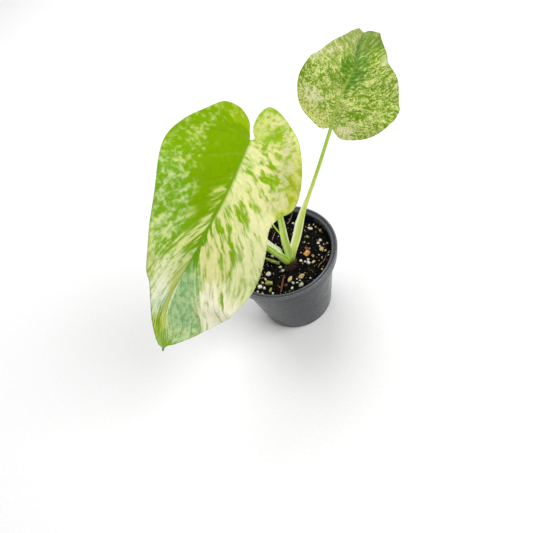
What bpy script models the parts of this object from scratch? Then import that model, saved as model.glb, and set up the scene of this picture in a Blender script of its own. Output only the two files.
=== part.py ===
"""Potted young mint monstera, modelled for Blender 4.5.

The origin is the centre of the pot's underside, on the surface that it stands on, with +Z up and +X to the
right of someone who faces the plant from the front (-Y). Sizes at the top are in millimetres and degrees.
"""

import math
import random

import bmesh
import bpy
import numpy as np
from mathutils import Matrix, Vector, noise
from mathutils.bvhtree import BVHTree

MM = 0.001
NAME = "potted_mint_monstera"
GAP = 0.3

# Pot: thin and round, 100 mm across its rim, with a skirt round the rim and a raised channel for drain holes
POT_HEIGHT = 82.0
RIM_RADIUS = 50.0
SKIRT_RADIUS = 49.0
SKIRT_DROP = 9.5
WALL_TOP_RADIUS = 45.6
WALL_FOOT_RADIUS = 34.4
WALL = 1.2
FOOT_INNER_RADIUS = 30.0
CHANNEL_INNER_RADIUS = 20.0
CHANNEL_RISE = 2.5
FLOOR = 1.6
DRAIN_HOLES = 8
DRAIN_RADIUS = 3.2
ROUND_STEPS = 48

# Soil: its top is a low uneven mound, with white and tan grains half sunk in it
SOIL_EDGE = 71.5
SOIL_MOUND = 1.5
SOIL_BUMPS = 0.9
SOIL_RINGS = 11
GRAIN_SINK = 0.35
# x, y and the largest width of the grains that stand out
LARGE_GRAINS = [
    (33, 15, 3.6), (34, 20, 2.2), (39, 15, 2.6), (37, -0.6, 3.0), (33.7, -2.6, 3.2), (34.1, -10.4, 4.2),
    (29.2, -15.3, 2.4), (13.3, -18, 3.0), (16.2, -17.6, 2.6), (19.6, -20.6, 3.2), (23.6, -19.6, 2.8),
    (14, -33.9, 2.4), (7.9, -28.6, 3.8), (2.6, -26.4, 4.4), (3.6, -31.4, 2.4), (-0.8, -31.6, 2.2),
    (4.6, -37.2, 2.4), (-17.1, -17.4, 4.4), (-19.9, -23.4, 4.0), (-24.6, -20.8, 3.0), (-28, -25.6, 2.6),
    (-20.9, -30.6, 2.2), (-5.6, -18.2, 2.6), (-4.6, -36.6, 2.2), (10, 24, 3.0), (-14, 28, 3.4), (-30, 8, 3.2),
    (-34, -10, 2.8), (22, 30, 2.6), (-24, 22, 2.4),
]
SMALL_GRAINS = 34
SMALL_GRAIN_WIDTH = (1.3, 2.1)
SEED = 11

# Crown: the short stem that the three leaf stalks grow from
CROWN_XY = (4.6, -9.6)
CROWN_RADII = (7.2, 6.2)
CROWN_TOP = 77.5
CROWN_HOLE_DEPTH = 9.0

# Leaf stalks: points from the crown to the blade, the radius of their section along them, and how far up each
# one is still grown together with the crown
FRONT_STALK = [(5, -9, 71), (6, -7.2, 84), (6.4, -6.2, 100), (8.6, -5, 124), (10.4, -3, 155), (10.2, -1, 182),
               (8.4, -2.2, 198), (6.9, -5.0, 205.5)]
FRONT_STALK_RADII = [3.5, 3.1, 2.6, 2.3, 2.2, 2.6]
FRONT_STALK_SPLIT = 19.0
BACK_STALK = [(5, -9.6, 71), (10.6, -7.6, 82.5), (19.2, -1.6, 91.8), (32.7, 9.5, 109), (53.1, 22.9, 130.1),
              (73.5, 37.8, 151.0)]
BACK_STALK_RADII = [2.9, 2.2, 1.75, 1.6, 1.5, 1.6]
BACK_STALK_SPLIT = 22.0
SIDE_STALK = [(4.4, -9.8, 71), (0.8, -10, 78), (-1.4, -9.5, 84.5), (-5.8, -7.5, 92), (-9.8, -5, 100),
              (-14.6, -2, 107), (-19, 0.5, 112.5)]
SIDE_STALK_RADII = [3.6, 3.2, 3.0, 2.9]
SIDE_STALK_SPLIT = 16.0
STALK_SIDES = 14

# Front leaf: its midrib from the stalk to the tip, the way its upper face looks along it, and how far each
# half folds up from flat
FRONT_MIDRIB = [(7, -6, 208), (-21, -32, 196), (-52, -53, 182), (-83, -69, 163), (-102, -83, 135)]
FRONT_FACES = [(0.15, -0.43, 0.89), (0.2, -0.7, 0.7), (0.28, -0.92, 0.28), (0.66, -0.75, 0.08)]
FRONT_FOLDS = [15, 25, 35]
# Half outlines: distance along the midrib from the stalk, and across from it
FRONT_RIGHT = [(0, 0), (-7, 3.5), (-15, 12), (-15, 25), (-4, 33.5), (10, 43), (24, 49), (40, 49), (66, 43),
               (97, 35.5), (107, 27), (120, 19), (142, 12.5), (152, 6), (156.5, 0)]
FRONT_LEFT = [(0, 0), (-9, -1), (-20, 0), (-23.5, 6), (-16, 20.5), (-4, 32.5), (18, 41.5), (34, 44),
              (42, 37.5), (50, 35), (62, 39), (87, 45), (110, 41), (133, 37), (145, 25), (152, 10), (156.5, 0)]
FRONT_FAN = 0.32
FRONT_WAVES = (1.6, 4.5)

# Back leaf: a rounder blade that carries on from its stalk, with its tip curled down behind
BACK_MIDRIB = [(74.5, 38, 153), (84, 45.5, 164), (94.5, 52.5, 172), (105.5, 60, 178), (117, 72, 184),
               (127, 84, 187.5), (132, 94, 184), (131, 100, 176)]
BACK_FACES = [(-0.29, -0.78, 0.56), (-0.29, -0.78, 0.56), (-0.2, -0.6, 0.75), (0.1, 0.2, 0.97)]
BACK_FOLDS = [10, 12, 16]
BACK_RIGHT = [(0, 0), (-5, 5.5), (-7.5, 12), (-3.9, 27), (3.3, 38), (12, 44), (25.7, 47), (35, 45.5),
              (46, 36.5), (55, 25), (64, 22), (74, 14.5), (85, 9), (95, 4.5), (101.5, 0)]
BACK_LEFT = [(0, 0), (-2.6, 5.5), (-1.8, 11), (6.5, 24), (15.5, 32.4), (25.2, 36.7), (38, 34.5), (49, 30),
             (58.2, 24), (67, 17.5), (76, 12.5), (86, 8.5), (95, 4), (101.5, 0)]
BACK_FAN = 0.34
BACK_WAVES = (1.0, 3.5)

# Both blades
BLADE = 0.8
MIDRIB_BASE = 2.2
MIDRIB_TIP = 1.0
VEIN_ROWS = 34
VEIN_STEPS = 6
VEIN_SWEEP = 1.25

# Small pieces that lie on the soil: a root shoot, a forked twig and a chip of bark
SHOOT = [(-4.5, -9.2), (-8.5, -5.5), (-13.5, 1), (-17.5, 5)]
SHOOT_RADIUS = 1.5
TWIG = [(-5.0, -21.5), (-7.4, -25.2), (-9.3, -28.5), (-11.8, -32.8), (-13.4, -36.1)]
TWIG_FORK = [(-11.8, -32.8), (-13.2, -30.6), (-14.0, -28.2)]
TWIG_RADIUS = 1.1
CHIP_AT = (20.5, -9.4)
CHIP_SIZE = (5.4, 4.2, 1.8)
CHIP_TURN = 25

GREEN = (0.30, 0.52, 0.06)
STALK_GREEN = (0.50, 0.66, 0.20)
BLACK = (0.010, 0.011, 0.013)
SOIL_BROWN = (0.018, 0.013, 0.010)
BARK_BROWN = (0.30, 0.12, 0.05)


def clear_scene():
    for obj in list(bpy.data.objects):
        bpy.data.objects.remove(obj, do_unlink=True)


def make_collection(name):
    made = bpy.data.collections.new(name)
    bpy.context.scene.collection.children.link(made)
    return made


def make_material(name, colour, roughness):
    made = bpy.data.materials.new(name)
    made.use_nodes = True
    shader = made.node_tree.nodes["Principled BSDF"]
    shader.inputs["Base Color"].default_value = (*colour, 1.0)
    shader.inputs["Roughness"].default_value = roughness
    shader.inputs["Metallic"].default_value = 0.0
    return made


def add_object(name, mesh, collection, material=None):
    obj = bpy.data.objects.new(name, mesh)
    collection.objects.link(obj)
    if material:
        mesh.materials.append(material)
        mesh.shade_smooth()
        mesh.set_sharp_from_angle(angle=math.radians(40))
    return obj


def mesh_from(bm, name):
    mesh = bpy.data.meshes.new(name)
    bm.to_mesh(mesh)
    bm.free()
    return mesh


def applied(obj):
    """Replaces the object's mesh by what its modifiers make of it."""
    bpy.context.view_layer.update()
    evaluated = obj.evaluated_get(bpy.context.evaluated_depsgraph_get())
    mesh = bpy.data.meshes.new_from_object(evaluated)
    obj.modifiers.clear()
    obj.data = mesh
    return obj


def smooth_line(points, steps):
    """Points along a smooth curve through the given ones, at equal distances."""
    known = np.array(points, float)
    ends = np.vstack([2 * known[0] - known[1], known, 2 * known[-1] - known[-2]])
    dense = []
    for before, here, there, after in zip(ends[:-3], ends[1:-2], ends[2:-1], ends[3:]):
        for t in np.linspace(0, 1, 12, endpoint=False):
            bend = 2 * before - 5 * here + 4 * there - after
            dense.append(0.5 * (2 * here + (there - before) * t + bend * t**2
                                + (3 * here - before - 3 * there + after) * t**3))
    dense.append(known[-1])
    dense = np.array(dense)
    along = np.concatenate([[0], np.cumsum(np.linalg.norm(np.diff(dense, axis=0), axis=1))])
    wanted = np.linspace(0, along[-1], steps)
    return np.stack([np.interp(wanted, along, axis) for axis in dense.T], axis=1), along[-1]


def between(values, share):
    """The value at this share of the way along an evenly spaced list."""
    values = np.array(values, float)
    spots = np.linspace(0, 1, len(values))
    if values.ndim == 1:
        return float(np.interp(share, spots, values))
    return np.array([np.interp(share, spots, axis) for axis in values.T])


def unit(vector):
    return vector / np.linalg.norm(vector)


# Turned pieces
def turned(name, profile, steps, collection, material=None):
    """A closed body of revolution from (radius, height) points that start and end on the axis."""
    mesh = bpy.data.meshes.new(name)
    points = [(radius * MM, 0, height * MM) for radius, height in profile]
    mesh.from_pydata(points, [(i, i + 1) for i in range(len(points) - 1)], [])
    obj = add_object(name, mesh, collection)
    screw = obj.modifiers.new("turn", "SCREW")
    screw.steps = steps
    screw.render_steps = steps
    screw.use_merge_vertices = True
    screw.merge_threshold = 0.0001
    screw.use_smooth_shade = False
    applied(obj)
    if material:
        obj.data.materials.append(material)
        obj.data.shade_smooth()
        obj.data.set_sharp_from_angle(angle=math.radians(40))
    return obj


def wall_radius(height):
    """Outer radius of the pot's tapered wall at this height."""
    share = height / (POT_HEIGHT - SKIRT_DROP)
    return WALL_FOOT_RADIUS + (WALL_TOP_RADIUS - WALL_FOOT_RADIUS) * share


def pot_inner_profile(clear=0.0):
    """The pot's inside from the middle of its floor to the top of its wall, or a line that is clear of it."""
    floor = FLOOR + clear
    channel = CHANNEL_RISE + floor
    top = POT_HEIGHT - SKIRT_DROP
    return [
        (0, floor), (CHANNEL_INNER_RADIUS - 1 - clear, floor), (CHANNEL_INNER_RADIUS - clear, channel),
        (FOOT_INNER_RADIUS - 1 + clear, channel), (FOOT_INNER_RADIUS + 0.5 + clear, floor),
        (wall_radius(2) - WALL - 1 - clear, floor), (wall_radius(4) - WALL - clear, 4 + clear),
        (wall_radius(top) - WALL - clear, top),
    ]


def make_pot(collection, cutters):
    skirt_foot = POT_HEIGHT - SKIRT_DROP
    rim = [
        (44.7, POT_HEIGHT - 3.2), (45.3, POT_HEIGHT - 1.6), (46.2, POT_HEIGHT - 1), (46.9, POT_HEIGHT - 1.5),
        (47.6, POT_HEIGHT - 1.4), (48.1, POT_HEIGHT - 0.4), (48.9, POT_HEIGHT), (49.7, POT_HEIGHT - 0.3),
        (RIM_RADIUS, POT_HEIGHT - 1.2), (49.7, POT_HEIGHT - 2.4), (SKIRT_RADIUS, skirt_foot),
        (SKIRT_RADIUS - WALL, skirt_foot), (SKIRT_RADIUS - WALL, POT_HEIGHT - 3.6), (46.4, POT_HEIGHT - 4.4),
    ]
    outside = [
        (WALL_TOP_RADIUS, skirt_foot), (wall_radius(3), 3), (WALL_FOOT_RADIUS - 0.5, 0.7),
        (WALL_FOOT_RADIUS - 1.4, 0), (FOOT_INNER_RADIUS, 0), (FOOT_INNER_RADIUS - 1.5, CHANNEL_RISE),
        (CHANNEL_INNER_RADIUS + 0.5, CHANNEL_RISE), (CHANNEL_INNER_RADIUS - 0.5, 0), (0, 0),
    ]
    pot = turned("pot", pot_inner_profile() + rim + outside, ROUND_STEPS, collection,
                 make_material("black_plastic", BLACK, 0.35))
    middle = (CHANNEL_INNER_RADIUS + FOOT_INNER_RADIUS) / 2 - 0.5
    for i in range(DRAIN_HOLES):
        angle = math.tau * i / DRAIN_HOLES
        bm = bmesh.new()
        bmesh.ops.create_cone(bm, cap_ends=True, segments=12, radius1=DRAIN_RADIUS * MM,
                              radius2=DRAIN_RADIUS * MM, depth=8 * MM)
        at = Vector((middle * math.cos(angle), middle * math.sin(angle), CHANNEL_RISE + FLOOR / 2)) * MM
        bmesh.ops.translate(bm, verts=bm.verts, vec=at)
        as_cutter(add_object(f"drain_{i}", mesh_from(bm, f"drain_{i}"), cutters))
    combine(pot, cutters, "DIFFERENCE")
    return pot


def as_cutter(obj):
    obj.hide_render = True
    obj.display_type = "WIRE"
    return obj


def combine(obj, collection, operation, solver="EXACT"):
    """One Boolean with every object of the collection, applied, after which those objects are removed."""
    boolean = obj.modifiers.new("combine", "BOOLEAN")
    boolean.operand_type = "COLLECTION"
    boolean.collection = collection
    boolean.operation = operation
    boolean.solver = solver
    applied(obj)
    for other in list(collection.objects):
        bpy.data.objects.remove(other, do_unlink=True)
    return obj


# Soil
def soil_height(x, y):
    """Height of the soil's top at this place, in mm."""
    radius = math.hypot(x, y) / WALL_TOP_RADIUS
    bumps = noise.noise(Vector((x, y, 3.1)) / 6.0) + 0.6 * noise.noise(Vector((x, y, 8.7)) / 2.6)
    fade = max(0.0, 1.0 - radius**6)
    return SOIL_EDGE + SOIL_MOUND * (1 - radius**2) + SOIL_BUMPS * bumps * fade


def add_grain(x, y, width, rng, collection):
    bm = bmesh.new()
    bmesh.ops.create_icosphere(bm, subdivisions=1, radius=1.0)
    size = Vector((rng.uniform(0.8, 1.0), rng.uniform(0.6, 0.85), rng.uniform(0.6, 0.8))) * width / 2
    turn = Matrix.Rotation(rng.uniform(0, math.tau), 4, "Z") @ Matrix.Rotation(rng.uniform(-0.4, 0.4), 4, "X")
    high = soil_height(x, y) + size.z * (1 - 2 * GRAIN_SINK)
    place = Matrix.Translation(Vector((x, y, high)) * MM) @ turn @ Matrix.Diagonal((*(size * MM), 1.0))
    bmesh.ops.transform(bm, verts=bm.verts, matrix=place)
    add_object("grain", mesh_from(bm, "grain"), collection)


def clear_of_stems(x, y, margin):
    """Whether a place on the soil is away from the crown and the pieces that lie on it."""
    taken = [(*CROWN_XY, CROWN_RADII[0])] + [(p[0], p[1], 3.0) for p in SHOOT + TWIG + TWIG_FORK]
    taken += [(CHIP_AT[0], CHIP_AT[1], 4.5)]
    return all(math.hypot(x - a, y - b) > size + margin for a, b, size in taken)


def make_soil(collection, cutters, pieces):
    rng = random.Random(SEED)
    edge = wall_radius(SOIL_EDGE) - WALL - GAP
    top = [(edge * i / SOIL_RINGS, SOIL_EDGE) for i in range(SOIL_RINGS + 1)]
    sides = pot_inner_profile(GAP)[-2::-1]
    brown = make_material("potting_soil", SOIL_BROWN, 0.95)
    soil = turned("soil", top + sides, ROUND_STEPS, collection, brown)
    for vertex in soil.data.vertices:
        x, y, z = vertex.co / MM
        if z > SOIL_EDGE - 0.01:
            vertex.co.z = soil_height(x, y) * MM
    bm = bmesh.new()
    bmesh.ops.create_cone(bm, cap_ends=True, segments=20, radius1=1, radius2=1, depth=1)
    size = Vector((CROWN_RADII[0] + GAP, CROWN_RADII[1] + GAP, 2 * (CROWN_HOLE_DEPTH + GAP))) * MM
    place = Matrix.Translation(Vector((*CROWN_XY, SOIL_EDGE)) * MM) @ Matrix.Diagonal((*size, 1.0))
    bmesh.ops.transform(bm, verts=bm.verts, matrix=place)
    as_cutter(add_object("crown_hole", mesh_from(bm, "crown_hole"), cutters))
    combine(soil, cutters, "DIFFERENCE")
    for x, y, width in LARGE_GRAINS:
        add_grain(x, y, width, rng, pieces)
    placed = [(x, y) for x, y, _ in LARGE_GRAINS]
    while len(placed) < len(LARGE_GRAINS) + SMALL_GRAINS:
        angle, radius = rng.uniform(0, math.tau), (edge - 2.5) * math.sqrt(rng.random())
        x, y = radius * math.cos(angle), radius * math.sin(angle)
        if clear_of_stems(x, y, 1.5) and all(math.dist((x, y), other) > 3.6 for other in placed):
            placed.append((x, y))
            add_grain(x, y, rng.uniform(*SMALL_GRAIN_WIDTH), rng, pieces)
    combine(soil, pieces, "UNION")
    return soil


# Stalks
def section(angle, radius, wing, groove):
    """Distance from a stalk's axis to its skin, at this angle from the middle of its upper side."""
    wings = wing * math.exp(-((abs(angle) - 0.95) / 0.42) ** 2)
    hollow = groove * math.exp(-((angle / 0.5) ** 2))
    return radius * (1 + wings - hollow)


def stalk_mesh(name, points, radii, wing, groove, upper, start, stop, sides=STALK_SIDES):
    """A loft of grooved sections along a curve, from start to stop in mm."""
    line, length = smooth_line(points, 160)
    stations = max(4, round((stop - start) / 7) + 1)
    rings = []
    bm = bmesh.new()
    for distance in np.linspace(start, stop, stations):
        share = distance / length
        centre = between(line, share)
        ahead = unit(between(line, min(1, share + 0.01)) - between(line, max(0, share - 0.01)))
        up = np.array(upper, float)
        up = unit(up - np.dot(up, ahead) * ahead)
        across = np.cross(ahead, up)
        ring = []
        for i in range(sides):
            angle = math.tau * i / sides
            angle = angle - math.tau if angle > math.pi else angle
            reach = section(angle, between(radii, share), between(wing, share), between(groove, share))
            out = up * math.cos(angle) + across * math.sin(angle)
            ring.append(bm.verts.new((centre + out * reach) * MM))
        rings.append(ring)
    for below, above in zip(rings[:-1], rings[1:]):
        for i in range(sides):
            j = (i + 1) % sides
            bm.faces.new((below[i], below[j], above[j], above[i]))
    bm.faces.new(rings[0])
    bm.faces.new(rings[-1])
    bmesh.ops.triangulate(bm, faces=bm.faces)
    bmesh.ops.recalc_face_normals(bm, faces=bm.faces)
    return mesh_from(bm, name)


STALKS = {
    "petiole_front": (FRONT_STALK, FRONT_STALK_RADII, [0.1, 0.2, 0.1, 0.05, 0], [0.3, 0.35, 0.2, 0.1, 0],
                      (-0.1, -0.9, 0.25), FRONT_STALK_SPLIT),
    "petiole_back": (BACK_STALK, BACK_STALK_RADII, [0.2, 0.6, 1.0, 1.1, 0.35, 0, 0, 0, 0, 0, 0],
                     [0.3, 0.4, 0.5, 0.5, 0.3, 0.1, 0, 0, 0, 0, 0], (-0.45, -0.7, 0.55), BACK_STALK_SPLIT),
    "petiole_side": (SIDE_STALK, SIDE_STALK_RADII, [0.1, 0.3, 0.4, 0.35], [0.2, 0.4, 0.5, 0.45],
                     (0.35, 0.35, 0.8), SIDE_STALK_SPLIT),
}


def make_stalks(collection):
    green = make_material("petiole_green", STALK_GREEN, 0.5)
    for name, (points, radii, wing, groove, upper, split) in STALKS.items():
        length = smooth_line(points, 2)[1]
        mesh = stalk_mesh(name, points, radii, wing, groove, upper, split + GAP, length)
        add_object(name, mesh, collection, green)


def make_crown(collection, pieces):
    """The stem above and below the soil's top, with the feet of the three stalks grown together on it."""
    low = SOIL_EDGE - CROWN_HOLE_DEPTH
    profile = [(0, CROWN_TOP), (0.55, CROWN_TOP - 0.6), (0.85, CROWN_TOP - 2.2), (1, CROWN_TOP - 4.6),
               (1, low + 2), (0.8, low), (0, low)]
    bm_profile = [(radius / MM, height) for radius, height in profile]
    crown = turned("crown", bm_profile, 20, collection, make_material("crown_green", STALK_GREEN, 0.55))
    for vertex in crown.data.vertices:
        vertex.co.x = vertex.co.x * CROWN_RADII[0] * MM + CROWN_XY[0] * MM
        vertex.co.y = vertex.co.y * CROWN_RADII[1] * MM + CROWN_XY[1] * MM
    for name, (points, radii, wing, groove, upper, split) in STALKS.items():
        mesh = stalk_mesh(name + "_foot", points, radii, wing, groove, upper, 0.5, split)
        add_object(name + "_foot", mesh, pieces)
    combine(crown, pieces, "UNION")
    return crown


# Leaves
def blade_point(line, length, faces, folds, along, across, side):
    """A place on the leaf, at this distance along the midrib and across from it on one side."""
    inside = min(max(along, 0.0), length)
    share = inside / length
    centre = between(line, share)
    ahead = unit(between(line, min(1, share + 0.012)) - between(line, max(0, share - 0.012)))
    up = between(faces, share)
    up = unit(up - np.dot(up, ahead) * ahead)
    out = np.cross(ahead, up) * side
    fold = math.radians(between(folds, share))
    place = centre + ahead * (along - inside) + across * (out * math.cos(fold) + up * math.sin(fold))
    return place, up


def make_leaf(name, midrib, faces, folds, halves, fan, waves, collection, material):
    """A leaf as one thin skin along its side veins, thickened downwards and most along the midrib."""
    line, length = smooth_line(midrib, 200)
    height, turns = waves
    bm = bmesh.new()
    weights = bm.verts.layers.deform.verify()
    for side, outline in zip((1, -1), halves):
        margin, _ = smooth_line(outline, VEIN_ROWS)
        rows = []
        for i, (end_along, end_across) in enumerate(margin):
            share = i / (VEIN_ROWS - 1)
            start = length * max(0.0, (share - fan) / (1 - fan))
            row = []
            for j in range(VEIN_STEPS + 1):
                out = j / VEIN_STEPS
                along = start + (end_along - start) * out**VEIN_SWEEP
                place, up = blade_point(line, length, faces, folds, along, end_across * out, side)
                wave = height * out**2 * math.sin(math.tau * turns * share + side) * math.sin(math.pi * share)
                vertex = bm.verts.new((place + up * wave) * MM)
                rib = MIDRIB_BASE + (MIDRIB_TIP - MIDRIB_BASE) * start / length
                vertex[weights][0] = max(BLADE, rib * (1 - 2.2 * out)) / MIDRIB_BASE
                row.append(vertex)
            rows.append(row)
        for near, far in zip(rows[:-1], rows[1:]):
            for j in range(VEIN_STEPS):
                corners = (near[j], near[j + 1], far[j + 1], far[j])
                bm.faces.new(corners if side > 0 else corners[::-1])
    bmesh.ops.remove_doubles(bm, verts=bm.verts, dist=0.02 * MM)
    bmesh.ops.dissolve_degenerate(bm, edges=bm.edges, dist=0.01 * MM)
    bmesh.ops.triangulate(bm, faces=bm.faces)
    leaf = add_object(name, mesh_from(bm, name), collection, material)
    leaf.vertex_groups.new(name="thickness")
    solidify = leaf.modifiers.new("thickness", "SOLIDIFY")
    solidify.thickness = MIDRIB_BASE * MM
    solidify.offset = -1
    solidify.vertex_group = "thickness"
    solidify.use_rim = True
    return leaf


def make_leaves(collection):
    green = make_material("leaf_green", GREEN, 0.4)
    make_leaf("leaf_front", FRONT_MIDRIB, FRONT_FACES, FRONT_FOLDS, (FRONT_RIGHT, FRONT_LEFT), FRONT_FAN,
              FRONT_WAVES, collection, green)
    make_leaf("leaf_back", BACK_MIDRIB, BACK_FACES, BACK_FOLDS, (BACK_RIGHT, BACK_LEFT), BACK_FAN,
              BACK_WAVES, collection, green)


# Small pieces
def ground_under(tree, x, y, reach):
    """The highest point of the soil within this reach of a place, in mm."""
    steps = (-reach, -reach / 2, 0, reach / 2, reach)
    down = Vector((0, 0, -1))
    hits = [tree.ray_cast(Vector((x + i, y + j, POT_HEIGHT)) * MM, down)[0] for i in steps for j in steps]
    return max(hit.z for hit in hits if hit) / MM


def lying_rod(name, route, radius, tip, tree):
    """A tapered rod that follows the soil under its route."""
    points = [(x, y, ground_under(tree, x, y, radius) + radius + GAP) for x, y in route]
    radii = [radius, radius, radius * tip]
    return stalk_mesh(name, points, radii, [0, 0], [0, 0], (0, 0, 1), 0, smooth_line(points, 2)[1], sides=8)


def make_small_pieces(collection, pieces, soil):
    bm = bmesh.new()
    bm.from_mesh(soil.data)
    tree = BVHTree.FromBMesh(bm)
    bm.free()
    root_green = make_material("root_green", STALK_GREEN, 0.6)
    add_object("aerial_root", lying_rod("aerial_root", SHOOT, SHOOT_RADIUS, 0.7, tree), collection, root_green)
    brown = make_material("twig_brown", BARK_BROWN, 0.8)
    twig = add_object("twig", lying_rod("twig", TWIG, TWIG_RADIUS, 0.7, tree), collection, brown)
    add_object("fork", lying_rod("fork", TWIG_FORK, TWIG_RADIUS * 0.8, 0.6, tree), pieces)
    combine(twig, pieces, "UNION")
    high = ground_under(tree, *CHIP_AT, CHIP_SIZE[0] / 2) + CHIP_SIZE[2] / 2 + GAP
    bm = bmesh.new()
    bmesh.ops.create_cube(bm, size=1.0)
    size = Matrix.Diagonal((*(Vector(CHIP_SIZE) * MM), 1.0))
    turn = Matrix.Rotation(math.radians(CHIP_TURN), 4, "Z")
    place = Matrix.Translation(Vector((*CHIP_AT, high)) * MM)
    bmesh.ops.transform(bm, verts=bm.verts, matrix=place @ turn @ size)
    bmesh.ops.bevel(bm, geom=bm.edges, offset=0.5 * MM, segments=1, affect="EDGES")
    add_object("bark_chip", mesh_from(bm, "bark_chip"), collection, make_material("bark", BARK_BROWN, 0.85))


def main():
    clear_scene()
    plant = make_collection(NAME)
    cutters = make_collection("cutters")
    pieces = make_collection("pieces")
    make_pot(plant, cutters)
    soil = make_soil(plant, cutters, pieces)
    make_crown(plant, pieces)
    make_stalks(plant)
    make_leaves(plant)
    make_small_pieces(plant, pieces, soil)


main()
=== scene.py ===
# %% [markdown]
# # A young marbled monstera in a nursery pot
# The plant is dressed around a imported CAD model. The solids are loaded first and never move: they say where
# the pot, the potting mix, the stalks and the leaves are. Each one is then made again here with the relief,
# the edges and the markings that a solid for a simulator leaves out. Sizes are written in millimetres.

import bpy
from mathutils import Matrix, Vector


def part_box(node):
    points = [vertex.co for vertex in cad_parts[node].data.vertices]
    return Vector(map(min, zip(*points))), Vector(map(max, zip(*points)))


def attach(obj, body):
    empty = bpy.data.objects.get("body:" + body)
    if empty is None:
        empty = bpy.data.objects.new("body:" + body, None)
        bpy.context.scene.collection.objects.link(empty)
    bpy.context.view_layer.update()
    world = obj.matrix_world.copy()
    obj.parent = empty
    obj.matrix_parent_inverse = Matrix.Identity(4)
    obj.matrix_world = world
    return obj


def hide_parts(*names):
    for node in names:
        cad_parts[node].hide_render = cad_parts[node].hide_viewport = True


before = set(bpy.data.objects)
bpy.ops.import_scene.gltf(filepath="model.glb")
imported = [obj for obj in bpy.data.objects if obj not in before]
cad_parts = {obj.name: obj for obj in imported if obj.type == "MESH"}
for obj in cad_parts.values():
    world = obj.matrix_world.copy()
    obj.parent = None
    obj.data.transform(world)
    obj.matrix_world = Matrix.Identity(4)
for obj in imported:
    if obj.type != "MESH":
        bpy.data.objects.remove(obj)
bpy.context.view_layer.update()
print("CAD nodes:", ", ".join(sorted(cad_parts)))

# %% Modules and units
import math
import random

import bmesh
import bpy
import numpy as np
from mathutils import Matrix, Vector, noise

MM = 0.001
BODY = "root"
scene = bpy.context.scene

# %% [markdown]
# ## Camera
# The picture looks down on the plant from the front, about 53 degrees above the horizon, and the frame is
# rolled by 23 degrees. These come from the ellipse that the pot's round rim makes, so the camera is set by
# a matrix: its columns are the camera's right, up and backward directions. The lens follows from a focal
# length of 470 pixels in a picture that is 533 pixels wide.

# %% Camera
PICTURE_WIDTH = 533
FOCAL_PIXELS = 470
SENSOR_MM = 36
CAMERA_AT = (-16.3, -254.7, 401.9)
CAMERA_RIGHT = (0.9212, -0.3099, -0.2354)
CAMERA_UP = (0.3892, 0.7336, 0.5571)
CAMERA_BACK = (0.0, -0.6048, 0.7964)

camera = bpy.data.objects.new("camera", bpy.data.cameras.new("camera"))
scene.collection.objects.link(camera)
camera.data.sensor_width = SENSOR_MM
camera.data.lens = SENSOR_MM * FOCAL_PIXELS / PICTURE_WIDTH
camera.data.clip_start = 0.01
turn = Matrix((CAMERA_RIGHT, CAMERA_UP, CAMERA_BACK)).transposed().to_4x4()
camera.matrix_world = Matrix.Translation(Vector(CAMERA_AT) * MM) @ turn
scene.camera = camera
print(f"lens {camera.data.lens:.1f} mm")

# %% [markdown]
# ## Small helpers
# Four things are done again and again. A colour is given as an sRGB hex code, but shaders add
# light, so it is turned to linear numbers. A material comes with the one function that adds a node, its
# settings and its links to it. A modifier is added and applied at once, so that the finished mesh holds it.
# A finished piece is given its material, rides on the body and hides the CAD solid it stands for.

# %% Colours and nodes
def linear(code):
    """The linear red, green and blue of an sRGB hex colour, with an alpha of 1."""
    parts = [int(code[i:i + 2], 16) / 255 for i in (0, 2, 4)]
    return [p / 12.92 if p <= 0.04045 else ((p + 0.055) / 1.055) ** 2.4 for p in parts] + [1.0]


def new_material(name):
    """A material with an empty node tree, and the one function that adds a node to it."""
    material = bpy.data.materials.new(name)
    material.use_nodes = True
    tree = material.node_tree
    tree.nodes.clear()

    def add(kind, inputs=None, stops=None, **settings):
        """Adds a node. Inputs are values or sockets, and stops are a ramp's places and colours."""
        node = tree.nodes.new("ShaderNode" + kind)
        for setting, value in settings.items():
            setattr(node, setting, value)
        for socket, value in (inputs or {}).items():
            if isinstance(value, bpy.types.NodeSocket):
                tree.links.new(value, node.inputs[socket])
            else:
                node.inputs[socket].default_value = value
        for i, (place, colour) in enumerate(stops or []):
            stop = node.color_ramp.elements[i] if i < 2 else node.color_ramp.elements.new(place)
            stop.position = place
            stop.color = linear(colour)
        return node

    return material, add


print("mid grey is", round(linear("808080")[0], 3), "in linear light")


# %% Selecting, modifiers and finishing
def select_only(*pieces):
    bpy.ops.object.select_all(action="DESELECT")
    for piece in pieces:
        piece.select_set(True)
    bpy.context.view_layer.objects.active = pieces[0]


def modify(piece, kind, **settings):
    """Adds a modifier and applies it."""
    select_only(piece)
    modifier = piece.modifiers.new(kind.lower(), kind)
    for name, value in settings.items():
        setattr(modifier, name, value)
    bpy.ops.object.modifier_apply(modifier=modifier.name)


def joined(name, *pieces):
    """Makes one piece of several."""
    select_only(*pieces)
    bpy.ops.object.join()
    pieces[0].name = name
    return pieces[0]


def in_edit_mode(piece, *steps):
    """Runs edit-mode steps on the whole mesh of a piece."""
    select_only(piece)
    bpy.ops.object.mode_set(mode="EDIT")
    for step, settings in steps:
        bpy.ops.mesh.select_all(action="SELECT")
        step(**settings)
    bpy.ops.object.mode_set(mode="OBJECT")


def finish_piece(piece, materials, slot, *nodes):
    """Gives a piece its materials, smooth shading and its place in the model."""
    for material in materials:
        piece.data.materials.append(material)
    select_only(piece)
    bpy.ops.object.shade_smooth_by_angle(angle=math.radians(50))
    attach(piece, BODY)
    for node in nodes:
        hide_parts(node)
    piece.data.calc_loop_triangles()
    print(f"{piece.name}: {len(piece.data.loop_triangles)} triangles")


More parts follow.
